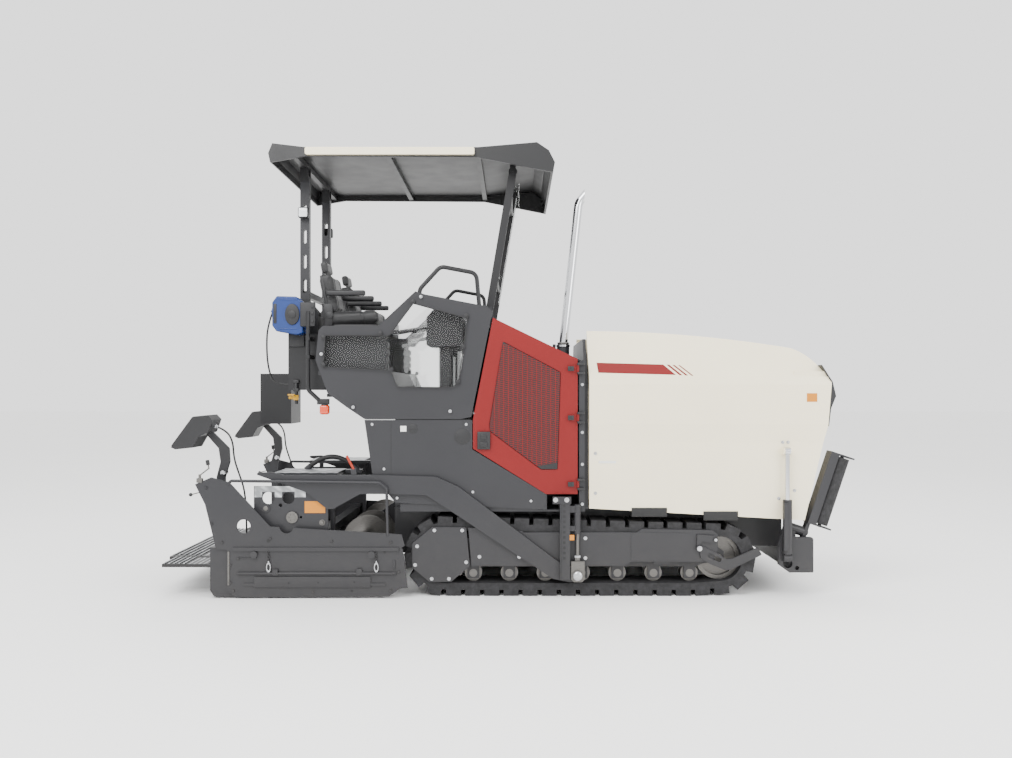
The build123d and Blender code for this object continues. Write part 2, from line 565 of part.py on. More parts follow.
# ---------------------------------------------------------------- engine bay
with BuildPart() as engine:
    box((engine_rear_x, engine_front_x), (-engine_half_width, engine_half_width),
        (engine_bottom_z, engine_top_z))
save(engine.part, "engine_block")

hood_profile = [(hood_rear_x, hood_rear_z), (hood_slope_x, hood_rear_z), (hood_front_x, hood_front_z),
                (hood_front_x, hood_front_z - hood_wall), (hood_slope_x - 4, hood_rear_z - hood_wall),
                (hood_rear_x, hood_rear_z - hood_wall)]
with BuildPart() as hood:
    plate(hood_profile, 0, hood_half_width)
    box((hood_rear_x, hood_rear_x + hood_wall), (0, hood_half_width), (deck_z, hood_rear_z))
    # clevis of the windscreen strut
    for side in (-1, 1):
        ear_y = strut_y + side * (strut_width / 2 + running_gap + strut_ear_wall / 2)
        plate([(strut_base[0] - 34, hood_rear_z - 2), (strut_base[0] - 20, strut_base[1] + 22),
               (strut_base[0] + 20, strut_base[1] + 22), (strut_base[0] + 34, hood_rear_z - 2)],
              ear_y - strut_ear_wall / 2, ear_y + strut_ear_wall / 2)
    round_across(strut_base[0], strut_base[1], strut_pin_r, strut_y - 30, strut_y + 30)
    mirror(about=Plane.XZ)
    # outlet and hinge of the exhaust
    round_bar((exhaust_x, -exhaust_y, hood_z(exhaust_x) - 12), (exhaust_x, -exhaust_y, exhaust_seam_z), 50)
    round_bar((exhaust_x, -exhaust_y, hood_z(exhaust_x) - 20), (exhaust_x, -exhaust_y, exhaust_seam_z + 1),
              36, Mode.SUBTRACT)
    for side in (-1, 1):
        ear_y = exhaust_y + side * (exhaust_lug_width / 2 + running_gap + 5)
        box((exhaust_hinge_x - 14, exhaust_hinge_x + 8), (ear_y - 5, ear_y + 5),
            (hood_z(exhaust_hinge_x + 14) - 10, exhaust_hinge_z + 12))
    round_across(exhaust_hinge_x, exhaust_hinge_z, exhaust_pin_r, exhaust_y - 30, exhaust_y + 30)
save(hood.part, "engine_hood")

lower_panel = [(-1068, 1333), (-255, 1333), (-255, 1111), (309, 769), (309, body_bottom_z),
               (-835, 708), (-1008, 919)]
with BuildPart() as lower_side:
    # set back, so that the arms' inner side plates swing past
    plate(lower_panel, body_inner_y, lower_panel_outer_y)
    box((-800, 300), (base_half_width + 1, body_inner_y), (chassis_top_z, chassis_top_z + 14))
    box((-800, 250), (body_inner_y - 14, body_inner_y), (chassis_top_z, 700))
save_both(lower_side.part, "lower_side_panels")

with BuildPart() as column:
    plate([(column_rear_x, chassis_top_z + 2), (column_rear_x, 1770), (585, 1790),
           (bulkhead_x - seam_gap, 1770), (bulkhead_x - seam_gap, chassis_top_z + 2)],
          body_outer_y - 42, body_outer_y)
    box((300, bulkhead_x - seam_gap), (frame_half_width - 20, body_outer_y - 20),
        (chassis_top_z, chassis_top_z + 14))
    # hinge pins of the side door, each between two lugs
    for z in door_hinge_heights:
        with Locations((door_hinge_x, -door_hinge_y, z)):
            Cylinder(door_pin_r, 2 * door_knuckle + 30)
        for side in (-1, 1):
            lug_z = z + side * (door_knuckle + running_gap + 8)
            box((door_hinge_x - 6, column_rear_x + 30), (body_outer_y + 1.8, door_hinge_y + 6),
                (lug_z - 8, lug_z + 8))
            box((column_rear_x + 1, column_rear_x + 30), (body_outer_y - 1, body_outer_y + 3),
                (lug_z - 8, lug_z + 8))
save_both(column.part, "front_columns")

door_outline = [(-98, 2105), (541, 1794), (541, 774), (303, 774), (-249, 1117), (-249, 1338)]
grille_outline = [(-22, 1927), (414, 1694), (391, 958), (264, 958), (-119, 1244), (-127, 1296)]
with BuildPart() as door:
    plate(door_outline, body_inner_y, body_outer_y)
    plate(grille_outline, body_inner_y + 6, body_outer_y + 1, Mode.SUBTRACT, corner=12)
    # cooling slots in the recessed panel
    with BuildSketch(side_plane(body_inner_y - 1)) as slots:
        with BuildLine():
            Polyline((-37, 1900), (399, 1667), (377, 976), (272, 976), (-105, 1256), (-111, 1290), close=True)
        make_face()
        with BuildSketch(mode=Mode.INTERSECT):
            with Locations((150, 1430)):
                with GridLocations(112, 48, 5, 20):
                    Rectangle(88, 24)
    extrude(slots.sketch, amount=10, mode=Mode.SUBTRACT)
    for z in door_hinge_heights:
        box((door_hinge_x - 70, door_hinge_x), (body_outer_y - 1, body_outer_y + 4),
            (z - door_knuckle, z + door_knuckle))
        with Locations((door_hinge_x, -door_hinge_y, z)):
            Cylinder(door_hinge_r, 2 * door_knuckle)
            Cylinder(door_pin_r + running_gap, 2 * door_knuckle + 2, mode=Mode.SUBTRACT)
    # ledge over the latch
    box((-190, -120), (body_outer_y - 1, body_outer_y + 5), (1215, 1240))
save_pair(door.part, "side_door")

# ---------------------------------------------------------------- operator platform
window_outline = [(-699, 2214), (-285, 2101), (-330, 1785), (-353, 1604), (-413, 1574), (-820, 1578),
                  (-872, 1702), (-1384, 1732), (-1362, 1973), (-880, 1973)]
side_outline = [(-1414, 2011), (-1384, 2044), (-963, 2044), (-684, 2304), (-616, 2282), (-187, 2199),
                (-157, 2199), (-101, 2154), (-262, 1356), (-342, 1340), (-1068, 1340), (-1204, 1431),
                (-1347, 1536), (-1437, 1785)]
with BuildPart() as platform_side:
    plate(side_outline, body_inner_y, body_outer_y)
    plate(window_outline, body_inner_y - 1, body_outer_y + 1, Mode.SUBTRACT)
save_both(platform_side.part, "platform_sides")

with BuildPart() as side_window:
    plate(window_outline, body_inner_y + 5, body_inner_y + 10)
save_both(side_window.part, "side_windows")

with BuildPart() as platform:
    # foot well, riser and the raised deck under the seats
    box((riser_x, hood_rear_x), (-body_inner_y, body_inner_y), (deck_z - deck_wall, deck_z))
    box((riser_x - 12, riser_x), (-body_inner_y, body_inner_y), (deck_z - deck_wall, seat_deck_z))
    box((deck_rear_x, riser_x), (-body_inner_y, body_inner_y), (seat_deck_z - deck_wall, seat_deck_z))
    box((deck_rear_x, riser_x), (-base_half_width, base_half_width), (deck_z - deck_wall, deck_z))
    # hollow base over the conveyor
    box((chassis_rear_x, base_front_x), (-base_half_width, base_half_width),
        (chassis_top_z, deck_z - deck_wall))
    box((chassis_rear_x + 20, base_front_x - 20), (20 - base_half_width, base_half_width - 20),
        (chassis_top_z - 1, deck_z - deck_wall - 20), Mode.SUBTRACT)
    box((chassis_rear_x - 1, base_front_x + 1), (-tunnel_outer_y - 2, tunnel_outer_y + 2),
        (chassis_top_z - 1, tunnel_top_z + tunnel_wall + 2), Mode.SUBTRACT)
save(platform.part, "operator_platform")

# boxes behind the platform, which carry the roof posts
rear_box_front_x, rear_box_rear_x, rear_box_half_width = deck_rear_x, -1706.0, 620.0
with BuildPart() as rear_boxes:
    box((rear_box_rear_x, rear_box_front_x), (-rear_box_half_width, rear_box_half_width), (1559, 1997))
    box((-2126, -1861), (-480, -120), (1268, 1700))
    box((-1870, rear_box_rear_x), (-440, -160), (1580, 1640))
    box((-1660, -1500), (-500, 500), (1990, 2150))
    for y in (-post_y, post_y):
        for side in (-1, 1):
            ear_y = y + side * (post_width / 2 + running_gap + 7)
            plate([(-1660, 2149), (-1660, 2250), (-1630, 2285), (-1590, 2285), (-1500, 2180), (-1500, 2149)],
                  ear_y - 7, ear_y + 7)
        round_across(post_base_x, post_base_z, post_pin_r, y - 48, y + 48)
save(rear_boxes.part, "rear_boxes")

# consoles beside the seats: stacked bellows, an armrest pad and the covered control panel
with BuildPart() as console_unit:
    for i in range(4):
        plate([(-1380, seat_deck_z + 58 * i), (-900, seat_deck_z + 58 * i),
               (-900, seat_deck_z + 58 * i + 60), (-1380, seat_deck_z + 58 * i + 60)], 700, 800, corner=24)
    plate([(-1340, 1930), (-930, 1930), (-900, 1990), (-940, 2010), (-1300, 2010), (-1340, 1990)],
          690, 790, corner=14)
    box((-520, -430), (560, 680), (deck_z, 1900))
    plate([(-612, 1895), (-332, 1895), (-332, 2140), (-400, 2190), (-540, 2199), (-612, 2120)],
          480, 760, corner=22)
    round_bar((-620, -600, 2050), (-900, -600, 2000), 16)
    round_bar((-600, -600, 2050), (-625, -600, 2050), 26)
save_both(console_unit.part, "consoles")

seat_inner_y, seat_outer_y = 210.0, 690.0
cushion = [(-1400, 2060), (-1410, 2140), (-1360, 2150), (-980, 2176), (-960, 2130), (-990, 2060)]
backrest = [(-1400, 2110), (-1300, 2150), (-1370, 2480), (-1440, 2490), (-1477, 2150)]
headrest = [(-1438, 2480), (-1375, 2478), (-1388, 2572), (-1430, 2584)]
with BuildPart() as seat:
    plate([(-1330, seat_deck_z), (-1050, seat_deck_z), (-1090, 2062), (-1300, 2062)], 330, 570, corner=8)
    plate(cushion, seat_inner_y, seat_outer_y, corner=16)
    plate(backrest, seat_inner_y + 20, seat_outer_y - 20, corner=22)
    plate(headrest, 330, 570, corner=14)
    for armrest_y in (seat_inner_y, seat_outer_y - 50):
        plate([(-1400, 2290), (-1090, 2300), (-1080, 2335), (-1400, 2330)], armrest_y, armrest_y + 50,
              corner=14)
save_both(seat.part, "seats")

with BuildPart() as handrail:
    bent_tube([(-664, -848, 2250), (-650, -848, 2328), (-496, -848, 2496), (-225, -848, 2445),
               (-199, -848, 2160)], 16, 60)
    box((-680, -648), (840, body_inner_y), (2225, 2262))
    box((-216, -184), (840, body_inner_y), (2150, 2186))
    # upright rail behind the platform
    bent_tube([(-1516, -780, 2160), (-1516, -780, 1560), (-1430, -780, 1480)], 16, 50)
    for z in (1814, 1954):
        box((-1530, -1502), (rear_box_half_width, 796), (z - 14, z + 14))
save_both(handrail.part, "handrails")

# reel with the washing hose: a moulded housing that is hung beside the right post
reel_outline = [(-1763, 2282), (-1616, 2278), (-1560, 2230), (-1560, 2000), (-1608, 1985), (-1767, 2011),
                (-1799, 2055), (-1799, 2233)]
reel_inner_y, reel_outer_y, reel_middle = 636.0, 756.0, (-1655.0, 2140.0)
with BuildPart() as reel:
    plate(reel_outline, reel_inner_y, reel_outer_y, corner=14)
    fillet(reel.edges().group_by(Axis.Y)[0], radius=10)
    # hub cover, and the nozzle where the hose comes out
    round_across(*reel_middle, 58, reel_outer_y, reel_outer_y + 8)
    round_bar((-1795, -696, 2200), (-1810.4, -696, 2157.7), 14)
    # bracket on the rear box
    box((-1700, -1580), (rear_box_half_width + 0.3, reel_inner_y + 1), (1900, 2100))
save(reel.part, "hose_reel")

# ---------------------------------------------------------------- augers
flight_length = auger_outer_y - auger_inner_y - 40
with BuildPart() as auger:
    round_across(auger_x, auger_z, auger_shaft_r, auger_inner_y, auger_outer_y)
    with BuildLine() as screw:
        Helix(auger_pitch, flight_length, (auger_shaft_r + auger_r) / 2 - 2,
              center=(auger_x, -auger_inner_y - 20, auger_z), direction=(0, -1, 0))
    radial = screw.line @ 0 - Vector(auger_x, -auger_inner_y - 20, auger_z)
    with BuildSketch(Plane(origin=screw.line @ 0, x_dir=radial, z_dir=screw.line % 0)) as blade:
        Rectangle(auger_r - auger_shaft_r + 4, flight_wall)
    sweep(blade.sketch, path=screw.line, is_frenet=True)
    round_across(auger_x, auger_z, auger_stub_r + running_gap, auger_inner_y - 1, auger_inner_y + 90,
                 Mode.SUBTRACT)
save_pair(auger.part, "auger")

# ---------------------------------------------------------------- tow points and arms
with BuildPart() as tow_guide:
    box((guide_rear_x, guide_front_x), (guide_inner_y, guide_inner_y + guide_wall),
        (guide_bottom_z, guide_top_z))
    box((guide_rear_x, guide_front_x), (body_outer_y - 60, guide_inner_y + guide_wall),
        (guide_top_z, guide_top_z + 30))
    box((guide_rear_x, guide_front_x), (base_half_width + 30, body_outer_y - 42),
        (chassis_top_z + 14, guide_top_z + 30))
    # housing of the levelling cylinder
    with Locations((tow_x, -level_rod_y, (level_barrel_bottom_z + level_barrel_top_z) / 2)):
        Cylinder(level_barrel_r, level_barrel_top_z - level_barrel_bottom_z)
    box((guide_front_x, tow_x), (level_rod_y - 16, level_rod_y + 16), (640, 690))
    box((guide_front_x - 1, tow_x), (level_rod_y - 16, level_rod_y + 16), (500, 540))
    with Locations((tow_x, -level_rod_y, level_barrel_bottom_z + 85)):
        Cylinder(level_rod_r + running_gap, 180, mode=Mode.SUBTRACT)
save_both(tow_guide.part, "tow_guides")

with BuildPart() as tow_block:
    plate([(490, 275), (590, 275), (590, 140), (570, 120), (510, 120), (490, 140)],
          arm_outer_y + running_gap, guide_inner_y + guide_wall)
    round_across(tow_x, tow_z, tow_pin_r, arm_inner_y - 4, arm_outer_y + running_gap)
    round_across(tow_x, tow_z, 40, guide_inner_y + guide_wall - 1, guide_inner_y + guide_wall + 12)
    box((tow_x - 18, tow_x + 18), (level_rod_y - 18, guide_inner_y), (265, 300))
    round_bar((tow_x, -level_rod_y, 299), (tow_x, -level_rod_y, level_barrel_bottom_z + 20), level_rod_r)
save_both(tow_block.part, "tow_blocks")

arm_outline = [(-1908, 935), (-1765, 942), (-1668, 920), (-923, 920), (-525, 908), (-352, 830),
               (377, 281), (470, 225), (560, 225), (585, 190), (585, 150), (560, 122), (480, 115),
               (354, 140), (-517, 717), (-600, 770), (-893, 777), (-1096, 777), (-1299, 665),
               (-1345, 665), (-1502, 792)]
with BuildPart() as tow_arm:
    plate(arm_outline, arm_inner_y, arm_outer_y, corner=9)
    round_across(tow_x, tow_z, tow_pin_r + running_gap, arm_inner_y - 1, arm_outer_y + 1, Mode.SUBTRACT)
    # side plate behind the end gate, with its scallops, holes and discs, and the foot on the screed
    side_plate_y = screed_half_width + 0.3
    plate([(-1900, 345), (-1900, 835), (-1360, 835), (-1340, 640), (-1340, 345)], side_plate_y, arm_inner_y)
    for x in (-1790, -1640):
        round_across(x, 745, 46, side_plate_y - 1, arm_inner_y + 1, Mode.SUBTRACT)
    for x, z, radius in ((-1700, 690, 14), (-1545, 600, 10)):
        round_across(x, z, radius, side_plate_y - 1, arm_inner_y + 1, Mode.SUBTRACT)
    round_across(-1610, 600, 46, arm_inner_y - 1, arm_inner_y + 10)
    round_across(-1808, 668, 30, arm_inner_y - 1, arm_inner_y + 10)
    box((-1480, -1380), (780, arm_inner_y), (screed_deck_z, screed_deck_z + 30))
save_both(tow_arm.part, "tow_arms")

# ---------------------------------------------------------------- screed
screed_profile = [(screed_front_x, 120), (screed_front_x, screed_box_top_z),
                  (screed_rear_x, screed_box_top_z), (screed_rear_x, 60), (screed_rear_x + 30, sole_z),
                  (screed_front_x - 60, sole_z)]
with BuildPart() as screed:
    plate(screed_profile, 0, screed_half_width)
    # crossbeams, the upper deck and their stands
    for x in (-1840, -1430):
        box((x - 40, x + 40), (0, screed_half_width), (screed_deck_z - 70, screed_deck_z))
        for y in (160, 500, 800):
            box((x - 30, x + 30), (y - 30, y + 30), (screed_box_top_z, screed_deck_z - 60))
    for x in (-1730, -1330):
        box((x - 16, x + 16), (740, 772), (screed_box_top_z, upper_deck_z))
    box((-1773, -1281), (430, 820), (upper_deck_z, upper_deck_z + walkway_wall))
    box((-1282, -1150), (430, 530), (upper_deck_z, upper_deck_z + walkway_wall))
    # rail along which the extensions slide
    box((screed_rear_x - rail_depth, screed_rear_x), (0, screed_half_width - 20), (170, 250))
    # bracket arm of the middle walkway
    box((bracket_x, -1820), (540, 570), (carrier_z, carrier_z + 36))
    box((bracket_x, bracket_x + 12), (540, 570), (walkway_z - 12, carrier_z + 36))
    round_across(middle_hinge_x, walkway_z, walkway_pin_r, 562, 589)
    for y in (566, 585):
        round_across(middle_hinge_x, walkway_z, walkway_knuckle_r, y - 4, y + 4)
        box((middle_hinge_x, bracket_x + 12), (y - 4, y + 4),
            (walkway_z - walkway_knuckle_r, walkway_z + walkway_knuckle_r))
    box((bracket_x, bracket_x + 12), (540, 589), (walkway_z - 12, walkway_z + 12))
    mirror(about=Plane.XZ)
    # fittings of the heating hose, on the right-hand deck
    round_bar(hose_fitting_rear, hose_end_rear - hose_lean * running_gap, 23)
    round_bar(hose_fitting_front, hose_end_front - hose_lean_front * running_gap, 23)
save(screed.part, "screed_body")

with BuildPart() as extension:
    plate([(extension_front_x, 60), (extension_front_x, extension_top_z), (extension_rear_x, extension_top_z),
           (extension_rear_x, 60), (extension_rear_x + 30, sole_z), (extension_front_x - 30, sole_z)],
          30, gate_inner_y)
    # stand of the console
    box((-2205, -2141), (785, 815), (extension_top_z, 897))
    box((-2212, -2120), (770, 830), (extension_top_z, extension_top_z + 14))
    # lugs and pin of the side walkway
    round_across(walkway_hinge_x, walkway_z, walkway_pin_r, 612, 908)
    for y in (616, 904):
        box((walkway_hinge_x - 12, extension_rear_x), (y - 4, y + 4), (walkway_z - 12, walkway_z + 12))
save_pair(extension.part, "screed_extension")

gate_panel = [(-2324, 854), (-2204, 906), (-2069, 869), (-1762, 539), (-779, 479), (-756, 396),
              (-786, 374), (-2166, 366), (-2249, 704)]
gate_shoe = [(-2084, 367), (-772, 375), (-734, 82), (-794, 74), (-869, 18), (-2016, 8), (-2084, 59)]
with BuildPart() as gate:
    plate(gate_panel, gate_inner_y, gate_outer_y)
    plate(gate_shoe, gate_inner_y, gate_outer_y)
    # round cut-outs of the chequered plate, and the stiffening bars
    for x in (-1960, -1640):
        round_across(x, 539, 52, gate_inner_y - 1, gate_outer_y + 1, Mode.SUBTRACT)
    box((-2040, -800), (gate_outer_y - 1, gate_outer_y + 12), (356, 384))
    box((-1960, -900), (gate_outer_y - 1, gate_outer_y + 8), (96, 116))
    # rail tube above the gate
    bent_tube([(-2069, -gate_inner_y - 10, 850), (-2069, -gate_inner_y - 10, 880),
               (-944, -gate_inner_y - 10, 866), (-892, -gate_inner_y - 10, 824),
               (-884, -gate_inner_y - 10, 470)], 11, 24)
    for x in (-1880, -1002):
        round_across(x, 330, 26, gate_outer_y - 1, gate_outer_y + 22)
save_pair(gate.part, "end_gate")

arm_table = [(-2205, 897), (-2141, 897), (-2106, 1012), (-2112, 1115), (-2227, 1231), (-2241, 1238),
             (-2283, 1220.7), (-2190, 1115), (-2175, 1012)]
screen_table = [(-2520, 1128), (-2350, 1360), (-2241, 1371), (-2206, 1333), (-2241, 1238),
                (-2309, 1210), (-2357, 1125), (-2486, 1112)]
with BuildPart() as console:
    plate(arm_table, 785, 815)
    plate(screen_table, 690, 910)
    round_across(-2150, 930, 12, 760, 840)
save_pair(console.part, "screed_console")

with BuildPart() as walkway:
    box((side_walkway_rear_x, walkway_hinge_x - 14), (620.3, 899.7), (walkway_z - 12, walkway_z + 12))
    box((walkway_hinge_x - 16, walkway_hinge_x), (620.3, 899.7), (walkway_z - 8, walkway_z + 8))
    round_across(walkway_hinge_x, walkway_z, walkway_knuckle_r, 620.3, 899.7)
    box((-2560, walkway_hinge_x - 50), (650, 870), (walkway_z - 13, walkway_z - 6), Mode.SUBTRACT)
    round_across(walkway_hinge_x, walkway_z, walkway_pin_r + running_gap, 600, 910, Mode.SUBTRACT)
save_pair(walkway.part, "screed_walkway")

with BuildPart() as middle_walkway:
    box((middle_walkway_rear_x, middle_hinge_x - 14), (0, 580), (walkway_z - 12, walkway_z + 12))
    box((middle_hinge_x - 16, middle_hinge_x), (570.3, 580), (walkway_z - 8, walkway_z + 8))
    round_across(middle_hinge_x, walkway_z, walkway_knuckle_r, 570.3, 580)
    box((middle_walkway_rear_x + 30, middle_hinge_x - 50), (-1, 540), (walkway_z - 13, walkway_z - 6),
        Mode.SUBTRACT)
    round_across(middle_hinge_x, walkway_z, walkway_pin_r + running_gap, 560, 592, Mode.SUBTRACT)
    mirror(about=Plane.XZ)
save(middle_walkway.part, "middle_walkway")

# ---------------------------------------------------------------- folding roof
with BuildPart() as posts:
    with BuildSketch(side_plane(post_y - post_width / 2)) as face:
        with Locations((post_base_x, (post_base_z + post_top_z) / 2)):
            Rectangle(post_depth, post_top_z - post_base_z)
        with Locations((post_base_x, post_base_z), (post_base_x, post_top_z)):
            Circle(post_depth / 2)
        with Locations(*[(post_base_x, z) for z in slot_heights]):
            SlotOverall(113, 30, rotation=90, mode=Mode.SUBTRACT)
        with Locations((post_base_x, post_base_z), (post_base_x, post_top_z)):
            Circle(post_pin_r + running_gap, mode=Mode.SUBTRACT)
    extrude(face.sketch, amount=post_width)
    box((post_base_x - 24, post_base_x + 24), (0, post_y), (cross_tube_z - 25, cross_tube_z + 25))
    mirror(about=Plane.XZ)
save(posts.part, "roof_posts")

strut_line = Vector(strut_top[0], 0, strut_top[1]) - Vector(strut_base[0], 0, strut_base[1])
strut_length = strut_line.length
strut_axes = Plane(
    origin=(strut_base[0], -strut_y + strut_width / 2, strut_base[1]),
    x_dir=strut_line.normalized(),
    z_dir=(0, -1, 0),
)
with BuildPart() as struts:
    with BuildSketch(strut_axes) as face:
        with Locations((strut_length / 2, 0)):
            Rectangle(strut_length, strut_depth)
        Circle(strut_depth / 2)
        with Locations((strut_length, 0)):
            Circle(strut_head_r)
            Circle(strut_head_bore_r, mode=Mode.SUBTRACT)
        Circle(strut_pin_r + running_gap, mode=Mode.SUBTRACT)
    extrude(face.sketch, amount=strut_width)
    for share in (0.25, 0.9):
        spot = Vector(strut_base[0], 0, strut_base[1]) + strut_line * share
        round_bar((spot.X, 1, spot.Z), (spot.X, -strut_y + 5, spot.Z), 15)
    mirror(about=Plane.XZ)
save(struts.part, "roof_struts")

with BuildPart() as windscreen:
    with BuildSketch(Plane(origin=(strut_base[0], 0, strut_base[1]), x_dir=strut_line.normalized(),
                           z_dir=(0, -1, 0))) as face:
        with Locations(((pane_start + pane_end) / 2, -pane_offset)):
            Rectangle(pane_end - pane_start, pane_wall)
        for station in (strut_length * 0.25, strut_length * 0.9):
            with Locations((station, -(pane_offset - pane_wall / 2 + 15) / 2)):
                Rectangle(24, pane_offset - pane_wall / 2 - 15)
    extrude(face.sketch, amount=600, both=True)
    # the clamps stay only at the sides
    for station in (strut_length * 0.25, strut_length * 0.9):
        spot = Vector(strut_base[0], 0, strut_base[1]) + strut_line.normalized() * station
        with Locations(Plane(origin=(spot.X, 0, spot.Z), x_dir=strut_line.normalized(), z_dir=(0, -1, 0))):
            with Locations((0, -(pane_offset - pane_wall / 2) / 2, 0)):
                Box(26, pane_offset - pane_wall / 2 - 0.01, 1000, mode=Mode.SUBTRACT)
save(windscreen.part, "windscreen")

# roof: a thin shell that is open below, with cream awning boxes along its sides
roof_outline = [(-1804, 3356), (-1773, 3431), (-1523, 3401), (-212, 3401), (235, 3439), (326, 3378),
                (372, 3287), (356, 3211), (-219, 3325), (-1523, 3333), (-1789, 3287)]
roof_inside = [(-1780, 3200), (-1780, 3345), (-1758, 3405), (-1523, 3376), (-212, 3376), (230, 3413),
               (308, 3362), (346, 3287), (338, 3200)]
with BuildPart() as roof:
    plate(roof_outline, -roof_half_width, roof_half_width)
    plate(roof_inside, roof_wall - roof_half_width, roof_half_width - roof_wall, Mode.SUBTRACT)
    # pockets of the awnings
    for side in (-1, 1):
        pocket_y = side * roof_half_width
        box((awning_rear_x - 1, awning_front_x + 1), (pocket_y - 6, pocket_y + 6),
            (awning_bottom_z - 1, awning_top_z + 1), Mode.SUBTRACT)
    # ribs, and the clevises on top of the posts
    for x in (-1616, -900, -212):
        box((x - 20, x + 20), (roof_wall - roof_half_width, roof_half_width - roof_wall), (3335, 3380))
    for y in (-post_y, post_y):
        for side in (-1, 1):
            ear_y = y + side * (post_width / 2 + running_gap + 7)
            box((post_base_x - 34, post_base_x + 34), (ear_y - 7, ear_y + 7), (post_top_z - 24, 3340))
        round_across(post_base_x, post_top_z, post_pin_r, y - 44, y + 44)
    # clevises of the struts
    for y in (-strut_y, strut_y):
        for side in (-1, 1):
            ear_y = y + side * (strut_width / 2 + running_gap + strut_ear_wall / 2)
            box((strut_top[0] - 22, strut_top[0] + 22),
                (ear_y - strut_ear_wall / 2, ear_y + strut_ear_wall / 2), (strut_top[1] - 22, 3408))
        round_across(strut_top[0], strut_top[1], strut_head_pin_r, y - 30, y + 30)
save(roof.part, "roof_shell")

with BuildPart() as awning:
    plate([(awning_rear_x, awning_bottom_z), (awning_front_x, awning_bottom_z),
           (awning_front_x, awning_top_z), (awning_rear_x, awning_top_z)], roof_half_width - 6,
          roof_half_width + 30, corner=14)
save_both(awning.part, "roof_awnings")

with BuildPart() as exhaust:
    foot = Vector(exhaust_x, -exhaust_y, exhaust_seam_z + running_gap)
    elbow = Vector(exhaust_top_x, -exhaust_y, exhaust_top_z)
    round_bar(foot, foot + Vector(0, 0, 14), 56)
    bent_tube([foot + Vector(0, 0, 10), elbow, elbow + exhaust_mouth], exhaust_r, 110)
    bent_tube([foot, elbow, elbow + exhaust_mouth], exhaust_r - 5, 110, Mode.SUBTRACT)
    # the mouth is cut upright
    box((exhaust_top_x + 46, exhaust_top_x + 200), (exhaust_y - 60, exhaust_y + 60),
        (exhaust_top_z - 60, exhaust_top_z + 200), Mode.SUBTRACT)
    box((exhaust_hinge_x, exhaust_x - 40),
        (exhaust_y - exhaust_lug_width / 2, exhaust_y + exhaust_lug_width / 2),
        (exhaust_hinge_z - 4, exhaust_hinge_z + 4))
    round_across(exhaust_hinge_x, exhaust_hinge_z, exhaust_pin_r + 5, exhaust_y - exhaust_lug_width / 2,
                 exhaust_y + exhaust_lug_width / 2)
    round_across(exhaust_hinge_x, exhaust_hinge_z, exhaust_pin_r + running_gap, exhaust_y - 30,
                 exhaust_y + 30, Mode.SUBTRACT)
save(exhaust.part, "exhaust_stack")

# ---------------------------------------------------------------- cables and hoses
console_cable_route = [(-2223.2, -800, 1285.4), (-2138.8, -800, 1254.3), (-2085, -800, 1170),
                       (-2078, -800, 1040), (-2040, -800, 925), (-1995, -800, 800), (-1980, -800, 590),
                       (-1980, -800, extension_top_z + 0.3)]
with BuildPart() as console_cable:
    cord_tube(console_cable_route, 7)
save_pair(console_cable.part, "console_cable")

reel_hose_route = [(-1810.5, -696, 2157.4), (-1848, -696, 2054), (-1856, -696, 1900), (-1860, -640, 1740),
                   (-1830, -580, 1600), (rear_box_rear_x - 0.3, -580, 1600)]
with BuildPart() as reel_hose:
    cord_tube(reel_hose_route, 7)
save(reel_hose.part, "reel_hose")

with BuildPart() as rear_hose:
    cord_tube([hose_end_rear, hose_peak, hose_end_front], 19)
save(rear_hose.part, "rear_hose")
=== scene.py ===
"""Tracked asphalt paver: finishes, soft seats, grilles, fastenings and small fittings.

Everything is in metres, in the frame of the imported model: +X forwards, +Y to the left, +Z up.
Pieces on both sides are made on the right (-Y) and mirrored.
"""

from math import cos, pi, radians, sin

import bmesh
import bpy
from mathutils import Matrix, Vector

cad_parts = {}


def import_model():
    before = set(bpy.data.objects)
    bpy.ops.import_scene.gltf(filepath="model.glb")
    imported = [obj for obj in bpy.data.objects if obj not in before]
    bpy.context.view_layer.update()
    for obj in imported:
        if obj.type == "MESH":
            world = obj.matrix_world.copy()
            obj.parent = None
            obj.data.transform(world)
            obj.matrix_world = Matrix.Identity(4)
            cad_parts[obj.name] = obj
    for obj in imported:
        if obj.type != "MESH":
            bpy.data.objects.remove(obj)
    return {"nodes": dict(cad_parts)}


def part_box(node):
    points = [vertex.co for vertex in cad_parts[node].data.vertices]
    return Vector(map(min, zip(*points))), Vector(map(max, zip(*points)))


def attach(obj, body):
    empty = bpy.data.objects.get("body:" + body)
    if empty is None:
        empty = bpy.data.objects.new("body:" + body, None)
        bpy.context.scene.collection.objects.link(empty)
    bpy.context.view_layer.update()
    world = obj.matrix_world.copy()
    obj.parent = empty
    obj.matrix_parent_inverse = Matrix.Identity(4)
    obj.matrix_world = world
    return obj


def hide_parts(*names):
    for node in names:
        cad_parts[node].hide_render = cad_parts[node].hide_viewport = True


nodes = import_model()["nodes"]
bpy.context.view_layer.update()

SIGNS = {"right": -1, "left": 1}     # sign of Y on each side


# ---- materials
def srgb(code):
    """Linear colour from an sRGB hex code."""
    channels = [int(code[i : i + 2], 16) / 255 for i in (0, 2, 4)]
    linear = [c / 12.92 if c <= 0.04045 else ((c + 0.055) / 1.055) ** 2.4 for c in channels]
    return (*linear, 1.0)


def fill(tree, node, inputs):
    """Fills a node's inputs: a socket is linked, anything else is a value."""
    for socket, value in inputs.items():
        if isinstance(value, bpy.types.NodeSocket):
            tree.links.new(value, node.inputs[socket])
        else:
            node.inputs[socket].default_value = value


def add(tree, kind, inputs, output, **settings):
    """Adds a node with its settings and inputs, and gives back one of its outputs."""
    made = tree.nodes.new(kind)
    for name, value in settings.items():
        setattr(made, name, value)
    fill(tree, made, inputs)
    return made.outputs[output]


